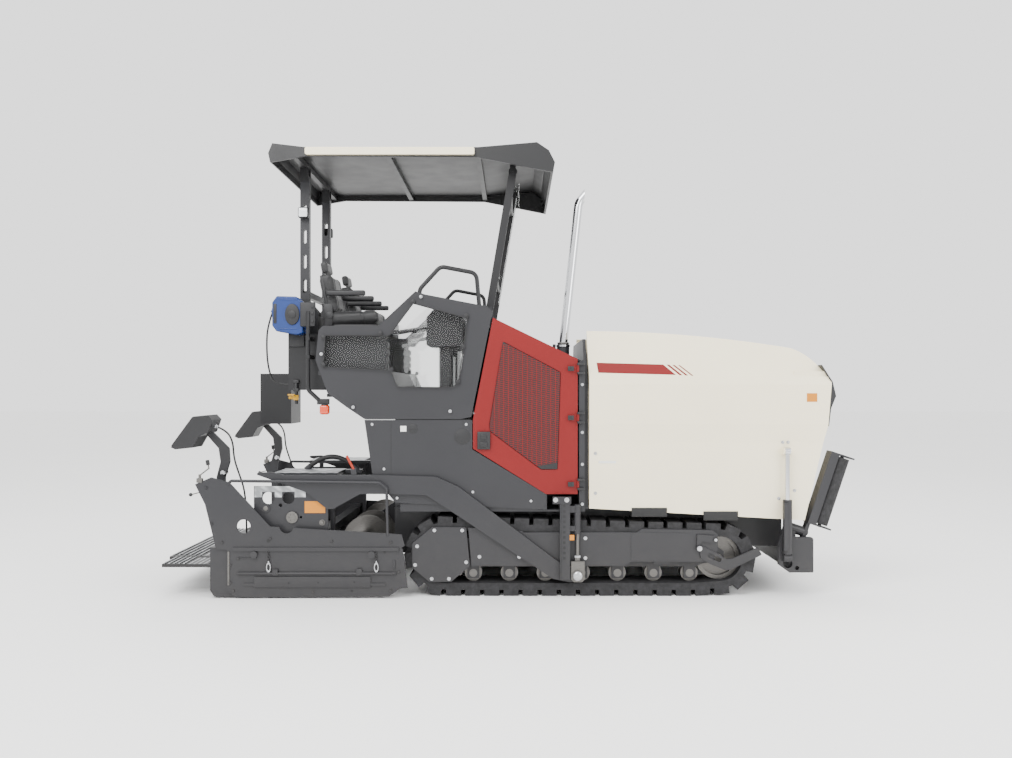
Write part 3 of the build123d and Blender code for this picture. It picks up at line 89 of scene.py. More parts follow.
def start_material(name):
    """New material: its tree, its shader and the position on the piece."""
    material = bpy.data.materials.new(name)
    material.use_nodes = True
    tree = material.node_tree
    place = add(tree, "ShaderNodeTexCoord", {}, "Object")
    return material, tree, tree.nodes["Principled BSDF"], place


def mix_colours(tree, share, first, second):
    """Colour between two, by a share from 0 to 1."""
    return add(tree, "ShaderNodeMix", {0: share, 6: first, 7: second}, 2, data_type="RGBA")


def noise(tree, place, scale, detail=2.0, roughness=0.5):
    """Cloudy noise from 0 to 1, with about so many clouds in a metre."""
    return add(tree, "ShaderNodeTexNoise",
               {"Vector": place, "Scale": scale, "Detail": detail, "Roughness": roughness}, "Fac")


def spread(tree, value, low, high, start=0.0, end=1.0):
    """Brings a value from the range start to end into the range low to high."""
    ends = {"From Min": start, "From Max": end, "To Min": low, "To Max": high}
    return add(tree, "ShaderNodeMapRange", {"Value": value, **ends}, "Result")


def product(tree, first, second):
    """One value times the other."""
    return add(tree, "ShaderNodeMath", {0: first, 1: second}, 0, operation="MULTIPLY")


def relief(tree, height, strength, depth):
    """Normal of a relief, whose depth is in metres."""
    return add(tree, "ShaderNodeBump",
               {"Height": height, "Strength": strength, "Distance": depth}, "Normal")


def enamel(name, colour, shade, roughness, coat, dust=0.25):
    """Machine enamel, sprayed on steel: faint orange peel, slow tone drift, and dust near the ground."""
    material, tree, shader, place = start_material(name)
    # the tone drifts over about 0.4 m, as on hand-sprayed panels
    tone = mix_colours(tree, noise(tree, place, 2.4, 3.0), srgb(colour), srgb(shade))
    # dust is thickest at the ground and ends 0.75 m above it
    height = add(tree, "ShaderNodeSeparateXYZ", {0: place}, "Z")
    speck = noise(tree, place, 14.0, 6.0, 0.7)
    share = product(tree, spread(tree, height, 0.0, dust, start=0.75, end=0.0), speck)
    # orange peel: dimples of about 4 mm, twice the real ones, so that they show
    peel = noise(tree, place, 250.0, 1.0)
    fill(tree, shader, {"Base Color": mix_colours(tree, share, tone, srgb("6E6962")),
                        "Roughness": spread(tree, speck, roughness - 0.05, roughness + 0.08),
                        "Normal": relief(tree, peel, 0.06, 0.0006),
                        "Coat Weight": coat, "Coat Roughness": 0.12, "Specular IOR Level": 0.35})
    return material


def moulded(name, colour, shade, roughness, cell_mm=3.2):
    """Moulded plastic or rubber with a fine spark-eroded grain."""
    material, tree, shader, place = start_material(name)
    patch = noise(tree, place, 6.0, 4.0)
    grain = add(tree, "ShaderNodeTexVoronoi", {"Vector": place, "Scale": 1000.0 / cell_mm}, "Distance")
    fill(tree, shader, {"Base Color": mix_colours(tree, patch, srgb(colour), srgb(shade)),
                        "Roughness": spread(tree, patch, roughness - 0.08, roughness + 0.08),
                        "Normal": relief(tree, grain, 0.25, 0.0004)})
    return material


def steel(name, colour, shade, roughness, depth=0.0003):
    """Bare or plated steel: fine level streaks and dull patches."""
    material, tree, shader, place = start_material(name)
    stretched = add(tree, "ShaderNodeMapping", {"Vector": place, "Scale": (6.0, 6.0, 60.0)}, 0)
    lines = noise(tree, stretched, 6.0, 6.0)
    fill(tree, shader, {"Base Color": mix_colours(tree, lines, srgb(colour), srgb(shade)),
                        "Roughness": spread(tree, lines, max(roughness - 0.1, 0.03), roughness + 0.1),
                        "Normal": relief(tree, lines, 0.12, depth), "Metallic": 1.0})
    return material


def chequer_plate():
    """Galvanised chequer plate: two crossing sets of raised ribs on grey spangles."""
    material, tree, shader, place = start_material("galvanised_chequer_plate")
    spangle = add(tree, "ShaderNodeTexVoronoi", {"Vector": place, "Scale": 38.0}, "Color")
    shine = add(tree, "ShaderNodeSeparateColor", {0: spangle}, 0)
    # ribs 50 mm apart
    ribs = []
    for angle in (radians(45), radians(-45)):
        turned = add(tree, "ShaderNodeMapping", {"Vector": place, "Rotation": (angle, angle, angle)}, 0)
        ribs.append(add(tree, "ShaderNodeTexWave", {"Vector": turned, "Scale": 40.0 / 6.28}, "Fac"))
    rib = product(tree, *ribs)
    tone = mix_colours(tree, shine, srgb("B4B6B8"), srgb("D6D8DA"))
    fill(tree, shader, {"Base Color": mix_colours(tree, rib, srgb("8C8E90"), tone),
                        "Roughness": spread(tree, shine.node.outputs[1], 0.3, 0.5),
                        "Normal": relief(tree, rib, 0.7, 0.002), "Metallic": 0.85})
    return material


def acrylic():
    """Clear cast acrylic pane: almost no tint, sharp gloss."""
    material, tree, shader, place = start_material("clear_cast_acrylic")
    fill(tree, shader, {"Base Color": srgb("F2F6F5"), "IOR": 1.49, "Transmission Weight": 1.0, "Alpha": 0.2,
                        "Roughness": spread(tree, noise(tree, place, 3.0, 5.0), 0.02, 0.09)})
    return material


def lens(name, colour, glow=0.0):
    """Moulded polycarbonate lens with fine prisms inside."""
    material, tree, shader, place = start_material(name)
    prisms = add(tree, "ShaderNodeTexWave", {"Vector": place, "Scale": 60.0}, "Fac")
    fill(tree, shader, {"Base Color": srgb(colour), "Roughness": 0.12, "IOR": 1.58, "Coat Weight": 0.6,
                        "Normal": relief(tree, prisms, 0.3, 0.0006),
                        "Emission Color": srgb(colour), "Emission Strength": glow})
    return material


def woven_vinyl():
    """Black seat vinyl, embossed with a fine weave."""
    material, tree, shader, place = start_material("black_embossed_seat_vinyl")
    # threads run across each other, 6 mm apart
    waves = {"Vector": place, "Scale": 500.0 / 9.0, "Distortion": 0.3}
    warp, weft = (add(tree, "ShaderNodeTexWave", waves, "Fac", bands_direction=way) for way in ("Y", "X"))
    worn = noise(tree, place, 9.0, 5.0)
    fill(tree, shader, {"Base Color": mix_colours(tree, worn, srgb("0D0D0F"), srgb("1A1A1C")),
                        "Normal": relief(tree, product(tree, warp, weft), 0.4, 0.0008),
                        "Roughness": 0.55, "Sheen Weight": 0.15})
    return material


def tread_rubber():
    """Track pads of bolted rubber: matt black, scuffed grey where they run."""
    material, tree, shader, place = start_material("scuffed_track_pad_rubber")
    scuff = noise(tree, place, 22.0, 7.0, 0.75)
    share = spread(tree, scuff, 0.0, 1.0, start=0.4, end=0.75)
    fill(tree, shader, {"Base Color": mix_colours(tree, share, srgb("121213"), srgb("2F2E31")),
                        "Normal": relief(tree, scuff, 0.5, 0.002), "Roughness": 0.8})
    return material


charcoal = enamel("charcoal_machine_enamel", "29292C", "232326", 0.46, 0.08, dust=0.14)
cream = enamel("cream_machine_enamel", "F7EDD0", "F0E5C6", 0.36, 0.2, dust=0.04)
red = enamel("dark_red_machine_enamel", "740000", "6A0000", 0.5, 0.04, dust=0.02)
blue = moulded("blue_moulded_reel_housing", "062E70", "052762", 0.42, cell_mm=4.8)
orange = enamel("orange_lever_enamel", "A02600", "902200", 0.35, 0.3)
yellow = enamel("yellow_valve_enamel", "B88A08", "A87E06", 0.4, 0.2)
amber_plate = enamel("amber_bare_plate", "C87D04", "BC7403", 0.4, 0.2)
white_plate = enamel("white_bare_plate", "E9E9E6", "DCDCD8", 0.4, 0.2)
black_steel = enamel("black_chassis_enamel", "1B1B1D", "161618", 0.45, 0.08, dust=0.12)
abs_black = moulded("black_moulded_abs", "101012", "17171A", 0.5)
roof_shell_abs = moulded("dark_grey_roof_shell", "101012", "0B0B0D", 0.45, cell_mm=6.0)
hose_rubber = moulded("braided_hose_rubber", "0C0C0D", "141415", 0.6, cell_mm=4.0)
pad_rubber = tread_rubber()
worn_steel = steel("worn_hardened_steel", "7C7A77", "585654", 0.45)
bright_steel = steel("zinc_plated_fastener_steel", "C9CACC", "A9AAAD", 0.28)
chrome = steel("hard_chrome_plate", "D9DADC", "C6C7CA", 0.1, depth=0.0001)
cast_iron = enamel("painted_cast_iron", "2C2C2F", "222224", 0.6, 0.0)
chequer = chequer_plate()
clear_pane = acrylic()
lamp_lens = lens("clear_lamp_lens", "E6EAEC")
dark_cover = lens("dark_screen_cover", "15181C")
amber_lens = lens("amber_beacon_lens", "CC3A02", glow=0.12)
vinyl = woven_vinyl()

# nodes of each finish; the nodes of a pair stand here without their side
node_names = {
    charcoal: "track_frames track_covers chassis_frame front_bumper hopper_floor hopper_bulkhead "
              "engine_hood lower_side_panels front_columns platform_sides operator_platform tow_guides "
              "tow_arms screed_body roof_posts wing_cylinder_barrel push_arm screed_extension end_gate",
    black_steel: "rear_boxes handrails roof_struts middle_walkway screed_walkway",
    worn_steel: "track_wheels conveyor tow_blocks auger",
    pad_rubber: "track_loops push_roller",
    cream: "roof_awnings hopper_wing",
    red: "side_door",
    blue: "hose_reel",
    vinyl: "seats",
    chrome: "exhaust_stack wing_cylinder_rod",
    cast_iron: "engine_block",
    clear_pane: "side_windows windscreen",
    abs_black: "consoles wing_lamp screed_console",
    roof_shell_abs: "roof_shell",
    hose_rubber: "reel_hose rear_hose console_cable",
}
for finish, names in node_names.items():
    for name in names.split():
        for node_name in (name, f"{name}_right", f"{name}_left"):
            if node_name in nodes:
                materials = nodes[node_name].data.materials
                materials.clear()
                materials.append(finish)


# ---- making pieces
def new_object(name, data):
    """Object at the origin, in the scene."""
    made = bpy.data.objects.new(name, data)
    bpy.context.scene.collection.objects.link(made)
    return made


def mesh_data(mesh, name):
    """Mesh made from a bmesh, which ends with it."""
    data = bpy.data.meshes.new(name)
    mesh.to_mesh(data)
    mesh.free()
    return data


def finished(mesh, name, material, body, smooth=True):
    """Turns a bmesh into an object at the origin that rides on a body."""
    bmesh.ops.remove_doubles(mesh, verts=mesh.verts, dist=1e-6)
    bmesh.ops.recalc_face_normals(mesh, faces=mesh.faces)
    data = mesh_data(mesh, name)
    data.materials.append(material)
    if smooth:
        data.shade_smooth()
        data.set_sharp_from_angle(angle=radians(35))
    piece = new_object(name, data)
    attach(piece, body)
    return piece


def side_piece(mesh, name, material, body, side, smooth=True):
    """Finishes a piece made on the right; for the left side it is mirrored first."""
    if side == "left":
        bmesh.ops.scale(mesh, vec=(1, -1, 1), verts=mesh.verts)
    return finished(mesh, f"{name}_{side}", material, body, smooth=smooth)


def add_block(mesh, low, high, bevel=0.0, turn=None, segments=2):
    """Box between two corners, with rounded edges; turn is a matrix about its middle."""
    low, high = Vector(low), Vector(high)
    size = high - low
    made = bmesh.ops.create_cube(mesh, size=1.0)["verts"]
    bmesh.ops.scale(mesh, vec=size, verts=made)
    if bevel:
        edges = list({edge for vert in made for edge in vert.link_edges})
        made = bmesh.ops.bevel(mesh, geom=edges, offset=bevel, affect="EDGES", segments=segments,
                               profile=0.5, material=-1)["verts"]
    if turn:
        bmesh.ops.transform(mesh, matrix=turn, verts=made)
    bmesh.ops.translate(mesh, vec=(low + high) / 2, verts=made)


def add_disc(mesh, centre, axis, radius, length, chamfer=0.0, sides=24):
    """Round bar or boss about an axis, centred on a point, with chamfered rims."""
    made = bmesh.ops.create_cone(mesh, cap_ends=True, segments=sides, radius1=radius,
                                 radius2=radius, depth=length)["verts"]
    if chamfer:
        rims = [edge for edge in {e for v in made for e in v.link_edges}
                if abs(edge.verts[0].co.z - edge.verts[1].co.z) < 1e-7]
        made = bmesh.ops.bevel(mesh, geom=rims, offset=chamfer, affect="EDGES", segments=2,
                               profile=0.5, material=-1)["verts"]
    turn = Vector((0, 0, 1)).rotation_difference(Vector(axis)).to_matrix().to_4x4()
    bmesh.ops.transform(mesh, matrix=Matrix.Translation(centre) @ turn, verts=made)
    return made


def add_side_bolts(mesh, face, size, places):
    """Hexagon bolt heads on washers, at X and Z on an upright face; size is across the corners."""
    for x, z in places:
        add_disc(mesh, (x, -face - size * 0.06, z), (0, -1, 0), size * 0.75, size * 0.14, sides=16)
        add_disc(mesh, (x, -face - size * 0.34, z), (0, -1, 0), size / 2, size * 0.44,
                 chamfer=size * 0.05, sides=6)


def prism(mesh, outline, inner_y, outer_y):
    """Plate on the right-hand side, from its X-Z outline."""
    verts = [mesh.verts.new((x, -inner_y, z)) for x, z in outline]
    face = mesh.faces.new(verts)
    extruded = bmesh.ops.extrude_face_region(mesh, geom=[face])["geom"]
    moved = [v for v in extruded if isinstance(v, bmesh.types.BMVert)]
    bmesh.ops.translate(mesh, vec=(0, inner_y - outer_y, 0), verts=moved)
    return verts + moved


def tube_curve(points, radius, name, material, body):
    """Round tube or hose along points, as a smooth curve."""
    data = bpy.data.curves.new(name, "CURVE")
    data.dimensions = "3D"
    data.bevel_depth = radius
    data.bevel_resolution = 4
    data.use_fill_caps = True
    spline = data.splines.new("NURBS")
    spline.points.add(len(points) - 1)
    for point, place in zip(spline.points, points):
        point.co = (*place, 1.0)
    spline.order_u = 3
    spline.use_endpoint_u = True
    spline.resolution_u = 8
    data.materials.append(material)
    piece = new_object(name, data)
    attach(piece, body)
    return piece


# ---- camera, floor and light
def make_camera():
    """Looks square at the right-hand side, as far off as the whole machine needs."""
    data = bpy.data.cameras.new("camera")
    data.sensor_width, data.lens = 36.0, 33.2
    data.shift_x, data.shift_y = -0.0089, 0.0109
    camera = new_object("camera", data)
    camera.location = (0.0685, -7.925, 1.559)
    camera.rotation_euler = (pi / 2, 0, 0)
    bpy.context.scene.camera = camera


def make_floor():
    """Plain pale floor, wide enough for every view."""
    mesh = bmesh.new()
    bmesh.ops.create_grid(mesh, x_segments=1, y_segments=1, size=60.0)
    data = mesh_data(mesh, "floor")
    material, tree, shader, place = start_material("pale_studio_floor")
    tone = mix_colours(tree, noise(tree, place, 0.4), srgb("FCFCFB"), srgb("F8F8F7"))
    fill(tree, shader, {"Base Color": tone, "Roughness": 0.85})
    data.materials.append(material)
    floor = new_object("floor", data)


def make_light(name, place, aim, size, power):
    """Square softbox that points at a spot."""
    data = bpy.data.lights.new(name, "AREA")
    data.size = size
    data.energy = power
    light = new_object(name, data)
    light.location = place
    light.rotation_euler = (Vector(aim) - Vector(place)).to_track_quat("-Z", "Y").to_euler()


def make_world():
    """Even white surroundings."""
    world = bpy.data.worlds.new("studio")
    world.use_nodes = True
    background = world.node_tree.nodes["Background"]
    fill(world.node_tree, background, {"Color": srgb("FFFFFF"), "Strength": 1.9})
    bpy.context.scene.world = world


make_camera()
make_floor()
make_world()
make_light("key_softbox", (-3.5, -7.0, 7.5), (0, 0, 1.2), 5.0, 800)
make_light("fill_softbox", (6.0, -6.0, 4.0), (0.5, 0, 1.2), 4.0, 300)
make_light("top_softbox", (0.0, 1.5, 9.0), (0, 0, 1), 6.0, 400)

# ---- faces and heights, most from the frame
LUG_SIDE = -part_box("front_columns")[0].y           # door hinge lugs, 17 mm past the panels' face
PANEL_SIDE = -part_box("lower_side_panels")[0].y     # the lower panels stand a little further in
GUIDE_SIDE = -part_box("tow_guides")[0].y
POST_SIDE = -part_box("roof_posts")[0].y
WING_SIDE = 0.876                                  # flat lower part of the wing's skin
GUARD_SIDE = 0.884                                 # round cover over the drive sprocket
COVER_SIDE = 0.878                                 # cover of the track beam
ARM_SIDE = 0.889                                   # rear plate of the tow arm
GATE_SIDE = 0.950
BOX_SIDE = 0.620                                   # rear box
HINGE_HEIGHTS = (0.85, 1.35, 1.72)                 # middles of the side door's hinges
SEAT_Y = 0.45                                      # middle of a seat


# ---- side door grille
def make_door_grille(side):
    """Slotted sheet over the cooling opening, with a dark sheet behind it: painted shade that stands for
    the dark inside seen through the slots.
    """
    outline = [(-0.022, 1.922), (0.409, 1.691), (0.387, 0.963), (0.267, 0.963), (-0.116, 1.248),
               (-0.123, 1.294)]
    low_x, high_x = min(x for x, _ in outline), max(x for x, _ in outline)
    low_z, high_z = min(z for _, z in outline), max(z for _, z in outline)
    slot_pitch_x, slot_pitch_z = 0.034, 0.0145
    columns, rows = int((high_x - low_x) / slot_pitch_x), int((high_z - low_z) / slot_pitch_z)
    mesh = bmesh.new()
    bmesh.ops.create_grid(mesh, x_segments=columns, y_segments=rows, size=0.5)
    stretch = Matrix.Diagonal((high_x - low_x, high_z - low_z, 1.0, 1.0))
    upright = Matrix.Rotation(pi / 2, 4, "X")
    middle = Matrix.Translation(((low_x + high_x) / 2, -(LUG_SIDE - 0.008), (low_z + high_z) / 2))
    bmesh.ops.transform(mesh, matrix=middle @ upright @ stretch, verts=mesh.verts)
    # the rows of slots rise towards the front
    for vert in mesh.verts:
        vert.co.z += 0.18 * (vert.co.x - low_x) - 0.04
    inner = bmesh.ops.inset_individual(mesh, faces=list(mesh.faces), thickness=0.0032)
    rims = set(inner["faces"])
    bmesh.ops.delete(mesh, geom=[f for f in mesh.faces if f not in rims], context="FACES")
    corners = outline + outline[:1]
    for (x0, z0), (x1, z1) in zip(corners, corners[1:]):
        outwards = Vector((z0 - z1, 0, x1 - x0))
        bmesh.ops.bisect_plane(mesh, geom=list(mesh.verts) + list(mesh.edges) + list(mesh.faces),
                               plane_co=(x0, 0, z0), plane_no=outwards, clear_outer=True)
    bmesh.ops.solidify(mesh, geom=list(mesh.faces), thickness=0.0015)
    side_piece(mesh, "door_slotted_sheet", red, f"side_door_{side}", side, smooth=False)
    # painted shade: a thin black sheet just behind the slots, in place of the shaded inside of the opening
    shade_sheet = bmesh.new()
    prism(shade_sheet, outline, LUG_SIDE - 0.0115, LUG_SIDE - 0.0105)
    side_piece(shade_sheet, "door_painted_shade_sheet", hose_rubber, f"side_door_{side}", side)


def make_door_fittings(side):
    """Latch plate with its lever, and the hinge leaves with their screws."""
    face = LUG_SIDE
    mesh = bmesh.new()
    add_block(mesh, (-0.215, -face - 0.006, 1.112), (-0.118, -face, 1.246), bevel=0.004)
    add_block(mesh, (-0.196, -face - 0.016, 1.128), (-0.140, -face - 0.004, 1.168), bevel=0.004)
    add_block(mesh, (-0.190, -face - 0.013, 1.186), (-0.146, -face - 0.004, 1.226), bevel=0.003)
    for z in HINGE_HEIGHTS:
        add_block(mesh, (0.466, -face - 0.011, z - 0.018), (0.512, -face - 0.003, z + 0.018), bevel=0.003)
        for shift in (-0.009, 0.009):
            add_disc(mesh, (0.486, -face - 0.0125, z + shift), (0, 1, 0), 0.006, 0.004, sides=12)
    side_piece(mesh, "door_latch", abs_black, f"side_door_{side}", side)


# ---- hopper wings
def make_wing_trim(side):
    """Red stripe with slanted ends, rubber flaps, bare plates, and bolts on the wing."""
    stripes = [[(0.691, 1.768), (1.198, 1.754), (1.285, 1.674), (0.699, 1.690)],
               [(1.223, 1.753), (1.244, 1.752), (1.334, 1.671), (1.311, 1.672)],
               [(1.268, 1.751), (1.285, 1.750), (1.376, 1.669), (1.357, 1.670)],
               [(1.312, 1.749), (1.325, 1.748), (1.417, 1.667), (1.403, 1.668)]]
    # the skin leans in above the upper crease, so the stripes lean with it
    mesh = bmesh.new()
    for outline in stripes:
        for vert in prism(mesh, outline, 0.0, 0.0012):
            vert.co.y -= lean_at(vert.co.z) + 0.0004
    side_piece(mesh, "wing_stripes", red, f"wing_{side}", side, smooth=False)
    flaps = bmesh.new()
    for rear, front, low in ((0.949, 1.216, 0.602), (1.491, 1.752, 0.575)):
        add_block(flaps, (rear, -0.884, low), (front, -0.877, low + 0.068), bevel=0.002)
    side_piece(flaps, "wing_rubber_flaps", hose_rubber, f"wing_{side}", side)
    plates = bmesh.new()
    prism(plates, [(0.700, 1.024), (0.832, 1.024), (0.832, 1.006), (0.700, 1.006)], 0.8765, 0.8785)
    side_piece(plates, "wing_plate", white_plate, f"wing_{side}", side, smooth=False)
    warning = bmesh.new()
    prism(warning, [(2.266, 1.535), (2.344, 1.535), (2.344, 1.470), (2.266, 1.470)], 0.8985, 0.900)
    side_piece(warning, "wing_amber_plate", amber_plate, f"wing_{side}", side, smooth=False)
    bolts = bmesh.new()
    add_side_bolts(bolts, WING_SIDE, 0.017, (
        (0.676, 1.08), (0.676, 0.78), (2.130, 1.165), (2.090, 1.165), (2.180, 0.80), (2.060, 0.74),
    ))
    side_piece(bolts, "wing_bolts", bright_steel, f"wing_{side}", side)


def lean_at(z):
    """Distance of the wing's outer skin from the centre plane, at a height."""
    if z < 1.600:
        return 0.898
    if z < 1.660:
        return 0.898 - 0.018 * (z - 1.600) / 0.060
    return 0.880 - 0.280 * (z - 1.660) / 0.362


# ---- seats
VOXEL = 0.006          # mesh size of the pads before they are puffed up
PAD_CAP = 0.014        # most that a point of a pad may move
SEAM_REACH = 0.018     # half the width of a sewn channel
SEAM_DEPTH = 0.007


def pad_form(low, high, waist):
    """Rounded block that stands for a pad before it is puffed up, drawn in between its corners."""
    low, high = Vector(low), Vector(high)
    mesh = bmesh.new()
    add_block(mesh, low, high, bevel=0.3 * min(high - low), segments=4)
    bmesh.ops.subdivide_edges(mesh, edges=list(mesh.edges), cuts=3, use_grid_fill=True)
    middle = (low + high) / 2
    half = (high - low) / 2
    for vert in mesh.verts:
        along = (vert.co.x - middle.x) / half.x
        across = (vert.co.y - middle.y) / half.y
        vert.co.y = middle.y + (vert.co.y - middle.y) * (1 - waist * (1 - along * along))
        vert.co.x = middle.x + (vert.co.x - middle.x) * (1 - waist * (1 - across * across))
    return mesh


def puff_up(mesh, name, turn, seams):
    """Voxel mesh, cloth pressure, sewn channels and one subdivision: the pad's stretched skin."""
    piece = new_object(name, mesh_data(mesh, name))
    scene = bpy.context.scene
    remesh = piece.modifiers.new("skin", "REMESH")
    remesh.mode = "VOXEL"
    remesh.voxel_size = VOXEL
    bake_modifiers(piece)
    before = [vert.co.copy() for vert in piece.data.vertices]
    cloth = piece.modifiers.new("puff", "CLOTH")
    cloth.settings.use_pressure = True
    cloth.settings.uniform_pressure_force = 4.0
    cloth.settings.effector_weights.gravity = 0.0
    for number in range(1, 21):
        scene.frame_set(number)
    bake_modifiers(piece)
    scene.frame_set(1)
    for vert, rest in zip(piece.data.vertices, before):
        step = vert.co - rest
        if step.length > PAD_CAP:
            vert.co = rest + step * (PAD_CAP / step.length)
    for axis, at in seams:
        for vert in piece.data.vertices:
            away = abs(vert.co[axis] - at)
            if away < SEAM_REACH:
                pull = SEAM_DEPTH * (1 - (away / SEAM_REACH) ** 2)
                vert.co -= vert.normal * pull
    piece.data.transform(turn)
    smooth = piece.modifiers.new("smooth", "SUBSURF")
    smooth.levels = smooth.render_levels = 1
    piece.data.materials.append(vinyl)
    piece.data.shade_smooth()
    return piece


def bake_modifiers(piece):
    """Replaces the mesh by what its modifiers make of it."""
    view = bpy.context.evaluated_depsgraph_get()
    shaped = bpy.data.meshes.new_from_object(piece.evaluated_get(view))
    piece.modifiers.clear()
    piece.data = shaped


def tilt_about(x, z, degrees):
    """Turn about a line along Y."""
    point = Vector((x, 0, z))
    turn = Matrix.Rotation(radians(degrees), 4, "Y")
    return Matrix.Translation(point) @ turn @ Matrix.Translation(-point)


def make_seats():
    """Two suspension seats: pads on moulded pans, ribbed bellows, armrests and headrests."""
    pads = (
        # name, low, high, waist, tilt about Y, seams (axis, place)
        ("cushion", (-1.385, -0.675, 2.075), (-0.985, -0.225, 2.155), 0.04,
         tilt_about(-1.385, 2.075, -2.5), ((1, -0.59), (1, -0.31), (0, -1.12))),
        ("backrest", (-1.400, -0.655, 2.155), (-1.318, -0.245, 2.475), 0.05,
         tilt_about(-1.36, 2.13, -10), ((1, -0.57), (1, -0.33), (2, 2.30))),
        ("headrest", (-1.395, -0.560, 2.492), (-1.342, -0.340, 2.580), 0.04,
         tilt_about(-1.36, 2.13, -10), ()),
    )
    for name, low, high, waist, turn, seams in pads:
        right = puff_up(pad_form(low, high, waist), f"seat_{name}_right", turn, seams)
        left = new_object(f"seat_{name}_left", right.data.copy())
        left.data.transform(Matrix.Translation((0, 2 * SEAT_Y, 0)))
        modifier = left.modifiers.new("smooth", "SUBSURF")
        modifier.levels = modifier.render_levels = 1
        for piece in (right, left):
            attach(piece, "machine")
    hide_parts("seats")
    mesh = bmesh.new()
    for y in (-SEAT_Y, SEAT_Y):
        # suspension bellows: seven ribs on a base plate
        add_block(mesh, (-1.335, y - 0.13, 1.701), (-1.045, y + 0.13, 1.722), bevel=0.004)
        for rib in range(7):
            z = 1.722 + rib * 0.044
            reach = 0.118 - 0.004 * rib
            add_block(mesh, (-1.19 - reach, y - reach, z), (-1.19 + reach, y + reach, z + 0.040),
                      bevel=0.014, segments=3)
        add_block(mesh, (-1.385, y - 0.20, 2.028), (-1.000, y + 0.20, 2.074), bevel=0.012, segments=3)
        # back shell, its hinge brackets, and the stalks of the headrest
        add_block(mesh, (-1.432, y - 0.19, 2.140), (-1.402, y + 0.19, 2.460), bevel=0.012, segments=3,
                  turn=Matrix.Rotation(radians(-10), 4, "Y"))
        for side in (-1, 1):
            add_block(mesh, (-1.420, y + side * 0.218 - 0.006, 2.060),
                      (-1.350, y + side * 0.218 + 0.006, 2.230), bevel=0.004)
            add_disc(mesh, (-1.372, y + side * 0.224, 2.140), (0, 1, 0), 0.028, 0.014, chamfer=0.003)
            add_disc(mesh, (-1.428, y + side * 0.05, 2.500), (0.17, 0, 1), 0.006, 0.09, sides=12)
            # armrests
            add_block(mesh, (-1.395, y + side * 0.222 - 0.022, 2.292),
                      (-1.095, y + side * 0.222 + 0.022, 2.334), bevel=0.013, segments=3)
    finished(mesh, "seat_pans", abs_black, "machine")


# ---- tractor side panels
def make_window_fittings(side):
    """Clamp discs of the side window and its rubber edge."""
    discs = bmesh.new()
    for x, z in ((-1.374, 1.955), (-1.374, 1.750), (-0.945, 1.987), (-0.700, 2.224), (-0.296, 2.118),
                 (-0.322, 1.885), (-0.362, 1.622), (-0.860, 1.716)):
        add_disc(discs, (x, -LUG_SIDE - 0.002, z), (0, 1, 0), 0.017, 0.012, chamfer=0.002, sides=20)
        add_disc(discs, (x, -LUG_SIDE - 0.008, z), (0, 1, 0), 0.008, 0.008, chamfer=0.001, sides=6)
    side_piece(discs, "window_clamps", abs_black, "machine", side)
    edge = bmesh.new()
    outline = [(-0.699, 2.214), (-0.285, 2.101), (-0.330, 1.785), (-0.353, 1.604), (-0.413, 1.574),
               (-0.820, 1.578), (-0.872, 1.702), (-1.384, 1.732), (-1.362, 1.973), (-0.880, 1.973)]
    prism(edge, outline, LUG_SIDE - 0.002, LUG_SIDE + 0.003)
    bmesh.ops.recalc_face_normals(edge, faces=edge.faces)
    front = [f for f in edge.faces if f.normal.y < -0.9]
    back = [f for f in edge.faces if f.normal.y > 0.9]
    bmesh.ops.inset_region(edge, faces=front, thickness=0.008)
    bmesh.ops.inset_region(edge, faces=back, thickness=0.008)
    bmesh.ops.bridge_loops(edge, edges=list({e for f in front for e in f.edges} |
                                            {e for f in back for e in f.edges}))
    bmesh.ops.delete(edge, geom=front + back, context="FACES")
    side_piece(edge, "window_rubber", hose_rubber, "machine", side, smooth=False)


